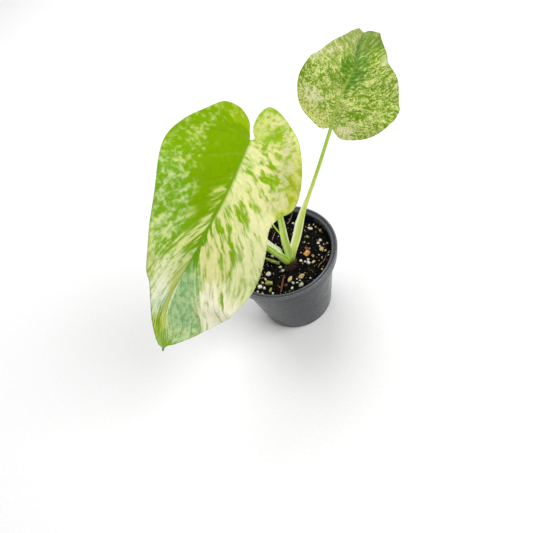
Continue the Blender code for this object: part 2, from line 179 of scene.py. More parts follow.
# %% [markdown]
# ## Two ways to start a mesh
# Nearly everything here is turned or a sheet. A turned piece starts as a circle, which is extruded, resized
# and moved along a profile, as clay is on a wheel. A sheet starts as a flat grid whose vertices are then
# moved along a formula: a leaf half is a grid that is laid along its veins, and a stalk is a grid that is
# rolled into a tube. A grid brings a UV map, so a pattern can later run along the veins or along the stalk.

# %% Turned pieces
def turned(name, profile, sides):
    """A closed piece of (radius, height) points round the Z axis."""
    bpy.ops.object.select_all(action="DESELECT")
    radius, height = profile[0]
    bpy.ops.mesh.primitive_circle_add(vertices=sides, radius=radius * MM, location=(0, 0, height * MM))
    piece = bpy.context.object
    piece.name = name
    bpy.ops.object.transform_apply()
    bpy.ops.object.mode_set(mode="EDIT")
    bpy.ops.mesh.select_all(action="SELECT")
    for wide, high in profile[1:]:
        rise = {"value": (0, 0, (high - height) * MM)}
        bpy.ops.mesh.extrude_edges_move(TRANSFORM_OT_translate=rise)
        bpy.ops.transform.resize(value=(wide / radius, wide / radius, 1), center_override=(0, 0, 0))
        radius, height = wide, high
    bpy.ops.mesh.edge_face_add()
    bpy.ops.mesh.poke()
    bpy.ops.mesh.select_all(action="DESELECT")
    bpy.ops.mesh.select_non_manifold()
    bpy.ops.mesh.edge_face_add()
    bpy.ops.mesh.poke()
    bpy.ops.mesh.select_all(action="SELECT")
    bpy.ops.mesh.normals_make_consistent(inside=False)
    bpy.ops.object.mode_set(mode="OBJECT")
    return piece


# %% Sheets and tubes
MAP_UNIT = 100


def sheet(name, columns, rows, place):
    """A grid whose vertices go to place(u, v), in mm, for u and v from 0 to 1."""
    bpy.ops.object.select_all(action="DESELECT")
    bpy.ops.mesh.primitive_grid_add(x_subdivisions=columns, y_subdivisions=rows, size=1)
    piece = bpy.context.object
    piece.name = name
    flat = np.empty(len(piece.data.vertices) * 3)
    piece.data.vertices.foreach_get("co", flat)
    u, v = flat.reshape(-1, 3)[:, :2].T + 0.5
    piece.data.vertices.foreach_set("co", (place(u, v) * MM).ravel())
    piece.data.update()
    return piece, u, v


def paint(piece, name, values):
    """Stores one number or one colour at each vertex."""
    values = np.asarray(values, np.float32)
    kind, key = ("FLOAT", "value") if values.ndim == 1 else ("FLOAT_COLOR", "color")
    if values.ndim == 2:
        values = np.hstack([values[:, :3], np.ones((len(values), 1), np.float32)])
    layer = piece.data.attributes.new(name, kind, "POINT")
    layer.data.foreach_set(key, values.ravel())


def lay_map(piece, across, along):
    """Sets the UV map from two lengths a vertex in mm, where 1 stands for the map unit."""
    corners = np.empty(len(piece.data.loops), np.int32)
    piece.data.loops.foreach_get("vertex_index", corners)
    places = np.stack([across[corners], along[corners]], axis=1) / MAP_UNIT
    piece.data.uv_layers[0].name = "length"
    piece.data.uv_layers[0].data.foreach_set("uv", places.astype(np.float32).ravel())


def close_tube(piece):
    """Joins the seam of a rolled grid and fills its two ends."""
    in_edit_mode(piece, (bpy.ops.mesh.remove_doubles, {"threshold": 0.005 * MM}),
                 (bpy.ops.mesh.fill_holes, {"sides": 0}),
                 (bpy.ops.mesh.normals_make_consistent, {"inside": False}))


# %% Curves
def smooth_line(points, steps):
    """Evenly spaced points along a smooth curve through the given ones, and its length."""
    known = np.array(points, float)
    ends = np.vstack([2 * known[0] - known[1], known, 2 * known[-1] - known[-2]])
    dense = []
    for before, here, there, after in zip(ends[:-3], ends[1:-2], ends[2:-1], ends[3:]):
        for t in np.linspace(0, 1, 12, endpoint=False):
            bend = 2 * before - 5 * here + 4 * there - after
            dense.append(0.5 * (2 * here + (there - before) * t + bend * t**2
                                + (3 * here - before - 3 * there + after) * t**3))
    dense = np.array(dense + [known[-1]])
    along = np.concatenate([[0], np.cumsum(np.linalg.norm(np.diff(dense, axis=0), axis=1))])
    wanted = np.linspace(0, along[-1], steps)
    return np.stack([np.interp(wanted, along, axis) for axis in dense.T], axis=1), along[-1]


def between(values, share):
    """The values at these shares of the way along an evenly spaced list."""
    values = np.array(values, float)
    spots = np.linspace(0, 1, len(values))
    if values.ndim == 1:
        return np.interp(share, spots, values)
    return np.stack([np.interp(share, spots, axis) for axis in values.T], axis=-1)


def unit(vectors):
    return vectors / np.linalg.norm(vectors, axis=-1, keepdims=True)


def hump(distance, width):
    """A soft bump that is 1 at no distance and fades over the width."""
    return np.exp(-((distance / width) ** 2))


def square_frame(line, share, upper, step):
    """Place, direction and the upward normal on a line, where upper is the way its upper side faces."""
    centre = between(line, share)
    ahead = unit(between(line, np.minimum(1, share + step)) - between(line, np.maximum(0, share - step)))
    up = unit(upper - (upper * ahead).sum(-1, keepdims=True) * ahead)
    return centre, ahead, up


# %% [markdown]
# ## Pot
# The pot is a cheap nursery pot: black polypropylene, injection moulded about a millimetre thick. Its rim
# is a rolled band with a groove round its top and a skirt that stiffens it, and the wall tapers so that
# pots stack. A turned profile gives all of that, and the drain holes are cut through the channel under the
# floor.

# %% Pot profile
POT_HEIGHT = 82.0
SKIRT_FOOT = 72.5
WALL = 1.2
DRAIN_HOLES = 8
DRAIN_CIRCLE = 24.5
DRAIN_RADIUS = 3.2
DRAIN_AT = 3.3
DRILL_LENGTH = 8


def wall_radius(height):
    """Outer radius of the tapered wall."""
    return 34.4 + 11.2 * height / SKIRT_FOOT


POT_PROFILE = [
    (1, 1.6), (18.8, 1.6), (19.4, 1.9), (19.8, 3.8), (20.2, 4.1), (28.8, 4.1), (29.2, 3.8), (30.2, 1.9),
    (30.7, 1.6), (32.3, 1.6), (33.2, 2.2), (wall_radius(4) - WALL, 4), (wall_radius(30) - WALL, 30),
    (wall_radius(55) - WALL, 55), (44.3, 72.5), (44.3, 76), (44.45, 78), (44.75, 79.6), (45.2, 80.7),
    (45.8, 81.2), (46.35, 81.1), (46.8, 80.5), (47.1, 79.9), (47.4, 79.7), (47.7, 79.9), (47.95, 80.6),
    (48.25, 81.4), (48.7, 81.9), (49.2, 82), (49.65, 81.75), (49.95, 81.3), (50, 80.8), (49.85, 80.2),
    (49.5, 79.8), (49.35, 79.2), (49.1, 73.2), (49.0, 72.6), (48.7, 72.4), (48.1, 72.4), (47.85, 72.6),
    (47.8, 73), (47.8, 77.8), (47.4, 78.4), (46.8, 78.3), (46.3, 77.6), (45.7, 72.5),
    (wall_radius(55), 55), (wall_radius(30), 30),
    (wall_radius(3), 3), (34.6, 1.6), (34.3, 0.8), (33.7, 0.25), (33, 0), (30.2, 0), (29.7, 0.2),
    (28.7, 2.3), (28.3, 2.5), (20.6, 2.5), (20.2, 2.3), (19.7, 0.2), (19.3, 0), (1, 0),
]

pot = turned("nursery_pot", POT_PROFILE, 144)
print("pot profile points:", len(POT_PROFILE))

# %% Drain holes
for i in range(DRAIN_HOLES):
    angle = math.tau * i / DRAIN_HOLES
    bpy.ops.object.select_all(action="DESELECT")
    at = (DRAIN_CIRCLE * math.cos(angle) * MM, DRAIN_CIRCLE * math.sin(angle) * MM, DRAIN_AT * MM)
    bpy.ops.mesh.primitive_cylinder_add(vertices=24, radius=DRAIN_RADIUS * MM, depth=DRILL_LENGTH * MM,
                                        location=at)
    drill = bpy.context.object
    modify(pot, "BOOLEAN", object=drill, operation="DIFFERENCE", solver="EXACT")
    bpy.data.objects.remove(drill, do_unlink=True)
print("pot with its holes:", len(pot.data.polygons), "faces")


# %% [markdown]
# ### Black polypropylene
# Injection-moulded polypropylene is nearly black here, semi-gloss, with an index of refraction near 1.49. A
# polished mould leaves soft flow marks, and a used pot has a haze of dried mix, which is duller and
# browner. Both are slow patterns of about a centimetre, and the rubbed grain is a fine bump of half a
# millimetre. The rolled rim is painted a lighter bluish grey, as a painted sheen for the grey reflection
# on its lip, and it is told from the wall by its height.

# %% Pot material
def moulded_black_polypropylene():
    material, add = new_material("injection_moulded_black_polypropylene")
    place = add("TexCoord").outputs["Object"]
    haze = add("TexNoise", {"Vector": place, "Scale": 1 / (11 * MM), "Detail": 4.0,
                            "Roughness": 0.6}).outputs["Fac"]
    dust = add("TexNoise", {"Vector": place, "Scale": 1 / (1.4 * MM), "Detail": 3.0}).outputs["Fac"]
    both = add("Math", {0: haze, 1: dust}, operation="MULTIPLY").outputs[0]
    colour = add("ValToRGB", {"Fac": both},
                 [(0.0, "16191D"), (0.36, "22262C"), (0.47, "2C2B2B")]).outputs["Color"]
    # Painted sheen: above about 79 mm the rolled rim is mixed towards a lighter bluish grey, which stands in
    # for the grey reflection on its lip.
    height = add("SeparateXYZ", {"Vector": place}).outputs["Z"]
    rolled = add("MapRange", {"Value": height, "From Min": (POT_HEIGHT - 3.2) * MM,
                              "From Max": (POT_HEIGHT - 2.2) * MM, "To Max": 0.85}).outputs[0]
    colour = add("Mix", {0: rolled, 6: colour, 7: linear("5E6166")}, data_type="RGBA").outputs[2]
    gloss = add("MapRange", {"Value": both, "From Min": 0.15, "From Max": 0.45, "To Min": 0.2,
                             "To Max": 0.42}).outputs[0]
    grain = add("TexNoise", {"Vector": place, "Scale": 1 / (0.5 * MM), "Detail": 2.0}).outputs["Fac"]
    bump = add("Bump", {"Height": grain, "Strength": 0.06, "Distance": 0.05 * MM}).outputs[0]
    shader = add("BsdfPrincipled", {"Base Color": colour, "Roughness": gloss, "Normal": bump,
                                    "IOR": 1.49, "Specular IOR Level": 0.5})
    add("OutputMaterial", {"Surface": shader.outputs[0]})
    return material


finish_piece(pot, [moulded_black_polypropylene()], "pot_plastic", "pot")

# %% [markdown]
# ## Potting mix
# The mix is damp peat and fine bark, almost black, with white perlite and tan pumice on top. It fills the
# pot, so it is a turned plug that follows the wall. Its top is a low mound. Large lumps come from the same
# noise as in the CAD model, and crumbs from a finer one, because a bump in the material alone would leave a
# smooth outline.

# %% Height of the mix
SOIL_EDGE = 71.5
SOIL_RADIUS = 45.6
PLUG_RADIUS = 44.0
MOUND = 1.5
LUMP_HEIGHT = 0.9
CRUMB_HEIGHT = 0.45
RINGS = 62


def soil_height(x, y):
    """Height of the top of the mix, in mm, with its large lumps."""
    radius = math.hypot(x, y) / SOIL_RADIUS
    bumps = noise.noise(Vector((x, y, 3.1)) / 6.0) + 0.6 * noise.noise(Vector((x, y, 8.7)) / 2.6)
    return SOIL_EDGE + MOUND * (1 - radius**2) + LUMP_HEIGHT * bumps * max(0.0, 1.0 - radius**6)


def crumbly_height(x, y):
    """The same with its crumbs."""
    rough = noise.fractal(Vector((x, y, 5.3)) / 1.7, 0.8, 2.1, 4)
    return soil_height(x, y) + CRUMB_HEIGHT * rough


rings = [(1 + (PLUG_RADIUS - 1) * i / RINGS, SOIL_EDGE) for i in range(RINGS + 1)]
under = [(wall_radius(h) - WALL - 0.3, h) for h in (69, 55, 30, 6)] + [(31, 4.6), (1, 4.6)]
mix = turned("potting_mix", rings + under, 168)
for vertex in mix.data.vertices:
    x, y, z = vertex.co / MM
    if z > SOIL_EDGE - 0.01:
        vertex.co.z = crumbly_height(x, y) * MM
print("the mix is", round(soil_height(0, 0), 1), "mm high at its middle")


# %% Mix material
def damp_peat():
    """Damp peat and bark fines: brown-black, matt, with crumbs of 1 to 3 mm that differ in colour."""
    material, add = new_material("damp_peat_and_bark_fines")
    place = add("TexCoord").outputs["Object"]
    crumbs = add("TexVoronoi", {"Vector": place, "Scale": 1 / (1.3 * MM)}).outputs["Color"]
    tone = add("SeparateColor", {"Color": crumbs}).outputs[0]
    patches = add("TexNoise", {"Vector": place, "Scale": 1 / (7 * MM), "Detail": 5.0}).outputs["Fac"]
    mixed = add("Math", {0: tone, 1: patches}, operation="MULTIPLY").outputs[0]
    colour = add("ValToRGB", {"Fac": mixed},
                 [(0.0, "020203"), (0.3, "08080A"), (0.5, "141110"), (0.66, "33281A")]).outputs["Color"]
    fine = add("TexNoise", {"Vector": place, "Scale": 1 / (0.6 * MM), "Detail": 5.0,
                            "Roughness": 0.7}).outputs["Fac"]
    bump = add("Bump", {"Height": fine, "Strength": 0.8, "Distance": 0.5 * MM}).outputs[0]
    shader = add("BsdfPrincipled", {"Base Color": colour, "Roughness": 0.92, "Normal": bump,
                                    "Specular IOR Level": 0.07})
    add("OutputMaterial", {"Surface": shader.outputs[0]})
    return material


peat = damp_peat()
finish_piece(mix, [peat], "potting_mix", "soil")

# %% [markdown]
# ## Grains, crumbs and fibres
# Nobody models a thousand crumbs one by one. A few lumps are made from small icospheres whose vertices are
# moved at random, and each copy of them gets a size, a turn and a flatness of its own. A crumb that is
# copied hundreds of times has 20 faces, and a perlite grain, which catches the eye, has 80. The large
# grains are placed one by one, and the rest are drawn from a seeded list, clear of the foot of the stem.

# %% Lumps
def lump(name, detail, roughness, seed):
    """A rough ball of about 1 mm, as a pattern for copies."""
    bpy.ops.object.select_all(action="DESELECT")
    bpy.ops.mesh.primitive_ico_sphere_add(subdivisions=detail, radius=0.5 * MM)
    piece = bpy.context.object
    piece.name = name
    in_edit_mode(piece, (bpy.ops.transform.vertex_random, {"offset": roughness * MM, "seed": seed,
                                                           "normal": 0.6}))
    return piece


def copies(name, patterns, places, material, slot):
    """One piece of many copies, each with (x, y, z, width, height over width, length over width)."""
    built = bmesh.new()
    for i, (x, y, z, size, flat, longer) in enumerate(places):
        before = len(built.verts)
        built.from_mesh(patterns[i % len(patterns)].data)
        built.verts.ensure_lookup_table()
        spin = (Matrix.Rotation(draw.uniform(0, math.tau), 4, "Z")
                @ Matrix.Rotation(draw.uniform(-0.5, 0.5), 4, "X"))
        wide = draw.uniform(0.75, 1.0)
        shape = Matrix.Diagonal((size * longer, size * wide, size * flat, 1))
        place = Matrix.Translation(Vector((x, y, z)) * MM) @ spin @ shape
        bmesh.ops.transform(built, verts=built.verts[before:], matrix=place)
    mesh = bpy.data.meshes.new(name)
    built.to_mesh(mesh)
    built.free()
    piece = bpy.data.objects.new(name, mesh)
    scene.collection.objects.link(piece)
    finish_piece(piece, [material], slot)
    return piece


draw = random.Random(23)
popcorn = [lump(f"popcorn_{i}", 2, 0.11, i + 1) for i in range(4)]
crumb = [lump(f"crumb_{i}", 1, 0.16, i + 1) for i in range(5)]
print("patterns:", len(popcorn) + len(crumb))

# %% Where the grains lie
CROWN_XY = (4.6, -9.6)
# x, y, width and length over width of each grain that stands out, in mm
LARGE_GRAINS = {
    "white": [
        (33.5, 16.2, 3.0, 1.6), (36.6, -0.7, 3.3, 1.0), (33.7, -2.8, 3.0, 1.0), (33.8, -6.4, 2.2, 1.0),
        (29.6, -14.9, 1.5, 1.0), (13.0, -13.6, 3.0, 1.0), (16.1, -16.3, 2.2, 1.0),
        (19.3, -15.5, 2.6, 1.0), (18.0, -18.9, 3.5, 1.1), (14.0, -33.7, 1.8, 1.0), (3.4, -29.6, 1.6, 1.0),
        (5.2, -31.6, 1.8, 1.0), (2.2, -33.2, 2.0, 1.0), (-3.4, -36.1, 2.4, 1.2), (-17.4, -13.8, 4.8, 1.0),
        (-28.4, -22.4, 4.4, 1.0), (-25.2, -25.0, 2.8, 1.0), (-31.6, -25.6, 2.0, 1.0),
        (-20.2, -33.4, 2.4, 1.0), (-7.8, 2.6, 3.0, 1.0), (10, 24, 3.0, 1.2), (-14, 28, 3.4, 1.0),
        (-34, -10, 2.8, 1.0), (22, 30, 2.6, 1.2), (-37, 6, 2.6, 1.0), (-6, 38, 2.6, 1.0),
    ],
    "tan": [
        (34.2, 20.3, 1.8, 1.3), (38.0, 19.0, 2.0, 1.2), (38.9, 15.6, 2.2, 1.0), (40.9, 10.0, 2.4, 1.2),
        (23.2, 4.1, 1.8, 1.2), (33.9, -10.4, 4.6, 1.1), (36.4, -13.2, 2.0, 1.3), (40.9, -6.6, 1.8, 1.2),
        (30.8, -18.7, 1.8, 1.4), (24.4, -13.3, 2.0, 1.6), (22.4, -19.7, 2.8, 1.5),
        (26.2, -29.8, 2.0, 1.2), (7.7, -28.9, 4.4, 1.3), (-1.9, -26.8, 3.4, 1.9),
        (-21.4, -17.6, 2.2, 1.6), (-24.9, -19.6, 2.8, 1.0), (-28.4, -29.2, 2.2, 1.0),
        (-3.0, -3.6, 2.4, 1.0), (-30, 8, 3.2, 1.3), (2, 36, 2.2, 1.3),
    ],
    "olive": [
        (27.8, 8.2, 2.4, 1.4), (38.3, -16.3, 1.8, 2.0), (-19.9, -22.4, 5.4, 1.3),
        (-21.0, -29.2, 2.8, 2.0), (-24, 22, 2.4, 1.4),
    ],
    "stained": [
        (-1.1, -31.4, 3.1, 1.0), (4.6, -36.6, 4.0, 1.2), (-5.4, -12.0, 3.2, 1.0), (-4.7, -15.9, 3.6, 1.0),
    ],
    "brown": [
        (40.2, 12.8, 1.8, 1.2), (41.2, 7.4, 2.0, 1.4), (22.5, -4.3, 3.8, 1.5), (-7.2, -31.0, 2.4, 1.6),
    ],
}
SMALL_GRAINS = 70
CRUMBS = 1300
CLEAR_OF_CROWN = 8


def free_spot(margin, apart, taken):
    """A seeded place on the mix that is clear of the crown and of the places taken."""
    while True:
        angle, radius = draw.uniform(0, math.tau), (PLUG_RADIUS - margin) * math.sqrt(draw.random())
        x, y = radius * math.cos(angle), radius * math.sin(angle)
        if math.hypot(x - CROWN_XY[0], y - CROWN_XY[1]) < CLEAR_OF_CROWN:
            continue
        if all(math.hypot(x - a, y - b) > apart for a, b in taken):
            return x, y


grains = {kind: [(x, y, soil_height(x, y) + width * 0.12, width, 0.78, longer)
                 for x, y, width, longer in found]
          for kind, found in LARGE_GRAINS.items()}
taken = [grain[:2] for found in grains.values() for grain in found]
for i in range(SMALL_GRAINS):
    x, y = free_spot(1.6, 2.2, taken)
    taken.append((x, y))
    size = draw.uniform(0.6, 1.3)
    grains["white" if i % 3 == 0 else "tan"].append((x, y, soil_height(x, y) + 0.3, size, 0.8, 1.2))
crumbs = []
for i in range(CRUMBS):
    x, y = free_spot(0.8, 0, [])
    size = draw.uniform(0.7, 2.3)
    crumbs.append((x, y, crumbly_height(x, y) - 0.05, size, 0.7, 1.1))
print("grains:", len(taken), "of which small:", SMALL_GRAINS, "crumbs:", len(crumbs))

# %% Grain materials
def grain_material(name, dark, light, pit_size, pit_depth, mirror=0.3):
    """A matt grain with two close colours in patches of 1 mm, and pits whose size and depth are in mm."""
    material, add = new_material(name)
    place = add("TexCoord").outputs["Object"]
    tone = add("TexNoise", {"Vector": place, "Scale": 1 / (1.2 * MM), "Detail": 4.0}).outputs["Fac"]
    colour = add("ValToRGB", {"Fac": tone}, [(0.36, dark), (0.58, light)]).outputs["Color"]
    pits = add("TexVoronoi", {"Vector": place, "Scale": 1 / (pit_size * MM)}).outputs["Distance"]
    bump = add("Bump", {"Height": pits, "Strength": 0.8, "Distance": pit_depth * MM}).outputs[0]
    shader = add("BsdfPrincipled", {"Base Color": colour, "Roughness": 0.9, "Normal": bump,
                                    "Specular IOR Level": mirror})
    add("OutputMaterial", {"Surface": shader.outputs[0]})
    return material


GRAIN_FINISHES = {
    "white": ("perlite_grains", "expanded_perlite", "A8A493", "E6E3D6", 0.5, 0.25),
    "tan": ("pumice_grains", "tan_pumice", "8E7A44", "D6C68C", 0.6, 0.2),
    "olive": ("olive_grains", "algae_stained_pumice", "5F662C", "ABA95C", 0.6, 0.2),
    "stained": ("stained_grains", "algae_stained_perlite", "87967A", "C9D1B4", 0.5, 0.25),
    "brown": ("brown_grains", "dry_bark_bits", "3B2416", "8A5A38", 0.8, 0.25),
}
for kind, (name, *finish) in GRAIN_FINISHES.items():
    copies(name, popcorn, grains[kind], grain_material(*finish), "potting_mix")
bark_fines = grain_material("composted_bark_fines", "050506", "1C1714", 0.8, 0.3, 0.1)
copies("peat_crumbs", crumb, crumbs, bark_fines, "potting_mix")

# %% Flecks of bark
FLECKS = 150
flecks = []
for i in range(FLECKS):
    x, y = free_spot(1.2, 0, [])
    flecks.append((x, y, crumbly_height(x, y) + 0.15, draw.uniform(0.5, 1.2), 0.5, draw.uniform(1, 2.2)))
dry_bark = grain_material("yellow_brown_bark_flecks", "4A3A18", "958344", 0.6, 0.2)
copies("bark_flecks", crumb, flecks, dry_bark, "potting_mix")
for pattern in popcorn + crumb:
    bpy.data.objects.remove(pattern, do_unlink=True)

# %% [markdown]
# ## Stalks
# Each leaf of a monstera hangs on a petiole that is grooved along its upper side. Near its foot the groove
# opens into a sheath, whose thin pale wings once held the next leaf. A grid is rolled into a tube whose
# section has a groove and two wings, and both change along the stalk: each list holds their size at even
# steps from the foot to the top, as a share of the radius. The wings' dry edge, the groove and a cut end
# are painted as attributes at the same time, because only the shape knows where they are.

# %% Stalk shapes
STALK_COLUMNS = 72
WING_AT = 0.95
WING_SPREAD = 0.26
GROOVE_SPREAD = 0.5


def stalk(name, points, radii, wings, groove, upper, rows, pale=0.32, cut=0.0):
    """A rolled grid along a curve. Upper is the way its grooved side faces, and pale a dry edge's reach."""
    line, length = smooth_line(points, 300)

    def humps(angle, sizes, width):
        """Both wings, each at its own angle from the groove."""
        return sum(size * hump(angle - side * WING_AT, width) for side, size in zip((-1, 1), sizes))

    def place(u, v):
        centre, ahead, up = square_frame(line, v, np.array(upper, float), 0.01)
        across = np.cross(ahead, up)
        angle = (u - 0.5) * math.tau
        raised = humps(angle, [between(wing, v) for wing in wings], WING_SPREAD)
        reach = between(radii, v) * (1 + raised - between(groove, v) * hump(angle, GROOVE_SPREAD))
        out = up * np.cos(angle)[:, None] + across * np.sin(angle)[:, None]
        return centre + out * reach[:, None]

    piece, u, v = sheet(name, STALK_COLUMNS, rows, place)
    angle = (u - 0.5) * math.tau
    paint(piece, "wing", humps(angle, [np.minimum(1, between(wing, v) * 1.3) for wing in wings], pale))
    paint(piece, "hollow", np.minimum(1, between(groove, v) * 2) * hump(angle, 0.6))
    paint(piece, "cut", cut * hump((1 - v) * length, 1.6))
    lay_map(piece, np.abs(angle) * 3, v * length)
    close_tube(piece)
    return piece


stalk_front = stalk(
    "stalk_of_front_leaf",
    [(5, -9, 71), (6, -7.2, 84), (6.4, -6.2, 100), (8.6, -5, 124), (10.4, -3, 155), (10.2, -1, 182),
     (8.8, -1.8, 197), (7.6, -4.4, 201.6), (4.8, -8.0, 203.4)],
    [3.5, 3.2, 2.6, 2.3, 2.2, 2.2, 2.1, 1.2], [[0.1, 0.35, 0.2, 0.05, 0], [0.1, 0.35, 0.2, 0.05, 0]],
    [0.3, 0.5, 0.3, 0.15, 0], (-0.1, -0.9, 0.25), 150)
stalk_back = stalk(
    "stalk_of_back_leaf",
    [(5, -9.6, 71), (10.6, -7.6, 82.5), (19.2, -1.6, 91.8), (32.7, 9.5, 109), (53.1, 22.9, 130.1),
     (73.2, 37.4, 150.6), (79.5, 41.8, 156.6), (85.5, 46.6, 163.0)],
    [2.9, 2.2, 1.75, 1.6, 1.5, 1.5, 1.5, 0.7],
    [[0.2, 0.8, 1.5, 2.0, 1.2, 0, 0, 0, 0, 0, 0, 0], [0.2, 0.5, 0.7, 0.7, 0.3, 0, 0, 0, 0, 0, 0, 0]],
    [0.3, 0.45, 0.55, 0.55, 0.4, 0.15, 0.1, 0.1, 0, 0, 0, 0], (-0.45, -0.7, 0.55), 160)
stalk_side = stalk(
    "stalk_behind_front_leaf",
    [(4.4, -9.8, 71), (0.8, -10, 78), (-1.4, -9.5, 84.5), (-5.8, -7.5, 92), (-9.8, -5, 100),
     (-14.6, -2, 107), (-19, 0.5, 112.5)],
    [3.6, 3.2, 3.0, 2.9], [[0.2, 0.45, 0.5, 0.5], [0.4, 1.5, 1.3, 0.9]],
    [0.2, 0.45, 0.5, 0.45], (0.35, 0.35, 0.8), 70, pale=0.62, cut=1.0)
print("stalks:", stalk_front.name, stalk_back.name, stalk_side.name)

# %% [markdown]
# ### Petiole skin
# A petiole is waxy and satin, with an index of refraction near 1.4. The cream marbling of the leaf goes on
# down the stalk as long streaks a millimetre wide, so the pattern is read from the UV map and stretched
# along it. The groove gets a set tone: on the front stalk a darker green, which is painted shade in the
# groove, on the back stalk a yellower green and on the side stalk a pale cream-green. The dry wings are
# almost white, and both the foot in the mix and the upper stalk are a deeper green. A cut end dries to brown.

# %% Petiole material
FOOT_TOP = 79.0
GREEN_FROM = 112.0
GREEN_TO = 132.0
STREAK_WIDTH = 1.3
STREAK_LENGTH = 24
DRY_WING = "EEF0E0"
FOOT_GREEN = "6E9418"
UPPER_GREEN = "90B83C"
CUT_BROWN = "8A6A3E"


def petiole_skin(name, green, pale, groove, streak_level):
    """Waxy skin, cream streaks, and set tones in the groove (painted shade on the front stalk), wings, foot
    and top.
    """
    material, add = new_material(name)
    uv = add("UVMap", uv_map="length").outputs["UV"]
    scale = (MAP_UNIT / STREAK_WIDTH, MAP_UNIT / STREAK_LENGTH, 1.0)
    long = add("Mapping", {"Vector": uv, "Scale": scale}).outputs[0]
    streaks = add("TexNoise", {"Vector": long, "Scale": 1.0, "Detail": 4.0}).outputs["Fac"]
    mask = add("MapRange", {"Value": streaks, "From Min": streak_level,
                            "From Max": streak_level + 0.14}).outputs[0]
    skin = add("Mix", {0: mask, 6: linear(green), 7: linear(pale)}, data_type="RGBA").outputs[2]
    # Painted shade: on the front stalk the groove colour is a darker green, which stands in for the shade in
    # the groove.
    hollow = add("Attribute", attribute_name="hollow").outputs["Fac"]
    groove_tone_and_shade = add("Math", {0: hollow, 1: 0.7}, operation="MULTIPLY").outputs[0]
    grooved = add("Mix", {0: groove_tone_and_shade, 6: skin, 7: linear(groove)}, data_type="RGBA").outputs[2]
    wing = add("Attribute", attribute_name="wing").outputs["Fac"]
    dry = add("MapRange", {"Value": wing, "From Min": 0.5, "From Max": 0.95}).outputs[0]
    winged = add("Mix", {0: dry, 6: grooved, 7: linear(DRY_WING)}, data_type="RGBA").outputs[2]
    place = add("TexCoord").outputs["Object"]
    height = add("SeparateXYZ", {"Vector": place}).outputs["Z"]
    foot = add("MapRange", {"Value": height, "From Min": (FOOT_TOP - 5) * MM,
                            "From Max": FOOT_TOP * MM, "To Min": 0.9, "To Max": 0.0}).outputs[0]
    footed = add("Mix", {0: foot, 6: winged, 7: linear(FOOT_GREEN)}, data_type="RGBA").outputs[2]
    high = add("MapRange", {"Value": height, "From Min": GREEN_FROM * MM, "From Max": GREEN_TO * MM,
                            "To Max": 0.75}).outputs[0]
    greened = add("Mix", {0: high, 6: footed, 7: linear(UPPER_GREEN)}, data_type="RGBA").outputs[2]
    scar = add("Attribute", attribute_name="cut").outputs["Fac"]
    colour = add("Mix", {0: scar, 6: greened, 7: linear(CUT_BROWN)}, data_type="RGBA").outputs[2]
    bump = add("Bump", {"Height": streaks, "Strength": 0.3, "Distance": 0.3 * MM}).outputs[0]
    shader = add("BsdfPrincipled", {"Base Color": colour, "Roughness": 0.45, "Normal": bump,
                                    "IOR": 1.42, "Specular IOR Level": 0.35})
    add("OutputMaterial", {"Surface": shader.outputs[0]})
    return material


# The front stalk's groove colour is darker than its green: painted shade in the groove.
finish_piece(stalk_front, [petiole_skin("waxy_green_petiole", "D2EC6C", "EEF6C0", "BEE054", 0.45)],
             "petiole", "petiole_front")
finish_piece(stalk_back, [petiole_skin("waxy_yellow_green_petiole", "C6DA66", "E2E69E", "CCCC72", 0.5)],
             "petiole", "petiole_back")
finish_piece(stalk_side, [petiole_skin("waxy_short_petiole", "A9CF2C", "E9F1BC", "EEF2C4", 0.5)],
             "petiole", "petiole_side")

# %% Crown
CROWN_RADII = (6.0, 5.4)
CROWN_PROFILE = [(0.1, 62.5), (0.75, 62.7), (1, 64.5), (1.02, 70), (1.05, 72), (1, 73.2), (0.95, 74),
                 (0.85, 74.9), (0.7, 75.7), (0.45, 76.3), (0.1, 76.6)]

crown = turned("crown_stem", CROWN_PROFILE, 40)
for vertex in crown.data.vertices:
    vertex.co.x = vertex.co.x * CROWN_RADII[0] + CROWN_XY[0] * MM
    vertex.co.y = vertex.co.y * CROWN_RADII[1] + CROWN_XY[1] * MM
modify(crown, "SUBSURF", levels=1, render_levels=1)
crown_bark = grain_material("brown_and_green_crown_bark", "24140D", "4E5226", 1.2, 0.3)
finish_piece(crown, [crown_bark], "stem", "crown")

# %% [markdown]
# ## Leaves
# A leaf is one sheet of skin on a fold. Its midrib is a curve in space, each half folds up from it, and a
# grid is laid on each half so that its rows run from the midrib to the margin, almost along the side veins.
# A row is named by its share of the margin, from the notch to the tip. The rows of the two lobes beside the
# stalk spread like a fan from a small arc round the stalk's end, which leaves the round notch. The relief
# is added on the way: soft pillows between the veins, a groove or a ridge along each vein, and the midrib.
# Both halves are then joined and given their thickness downwards, most under the midrib.

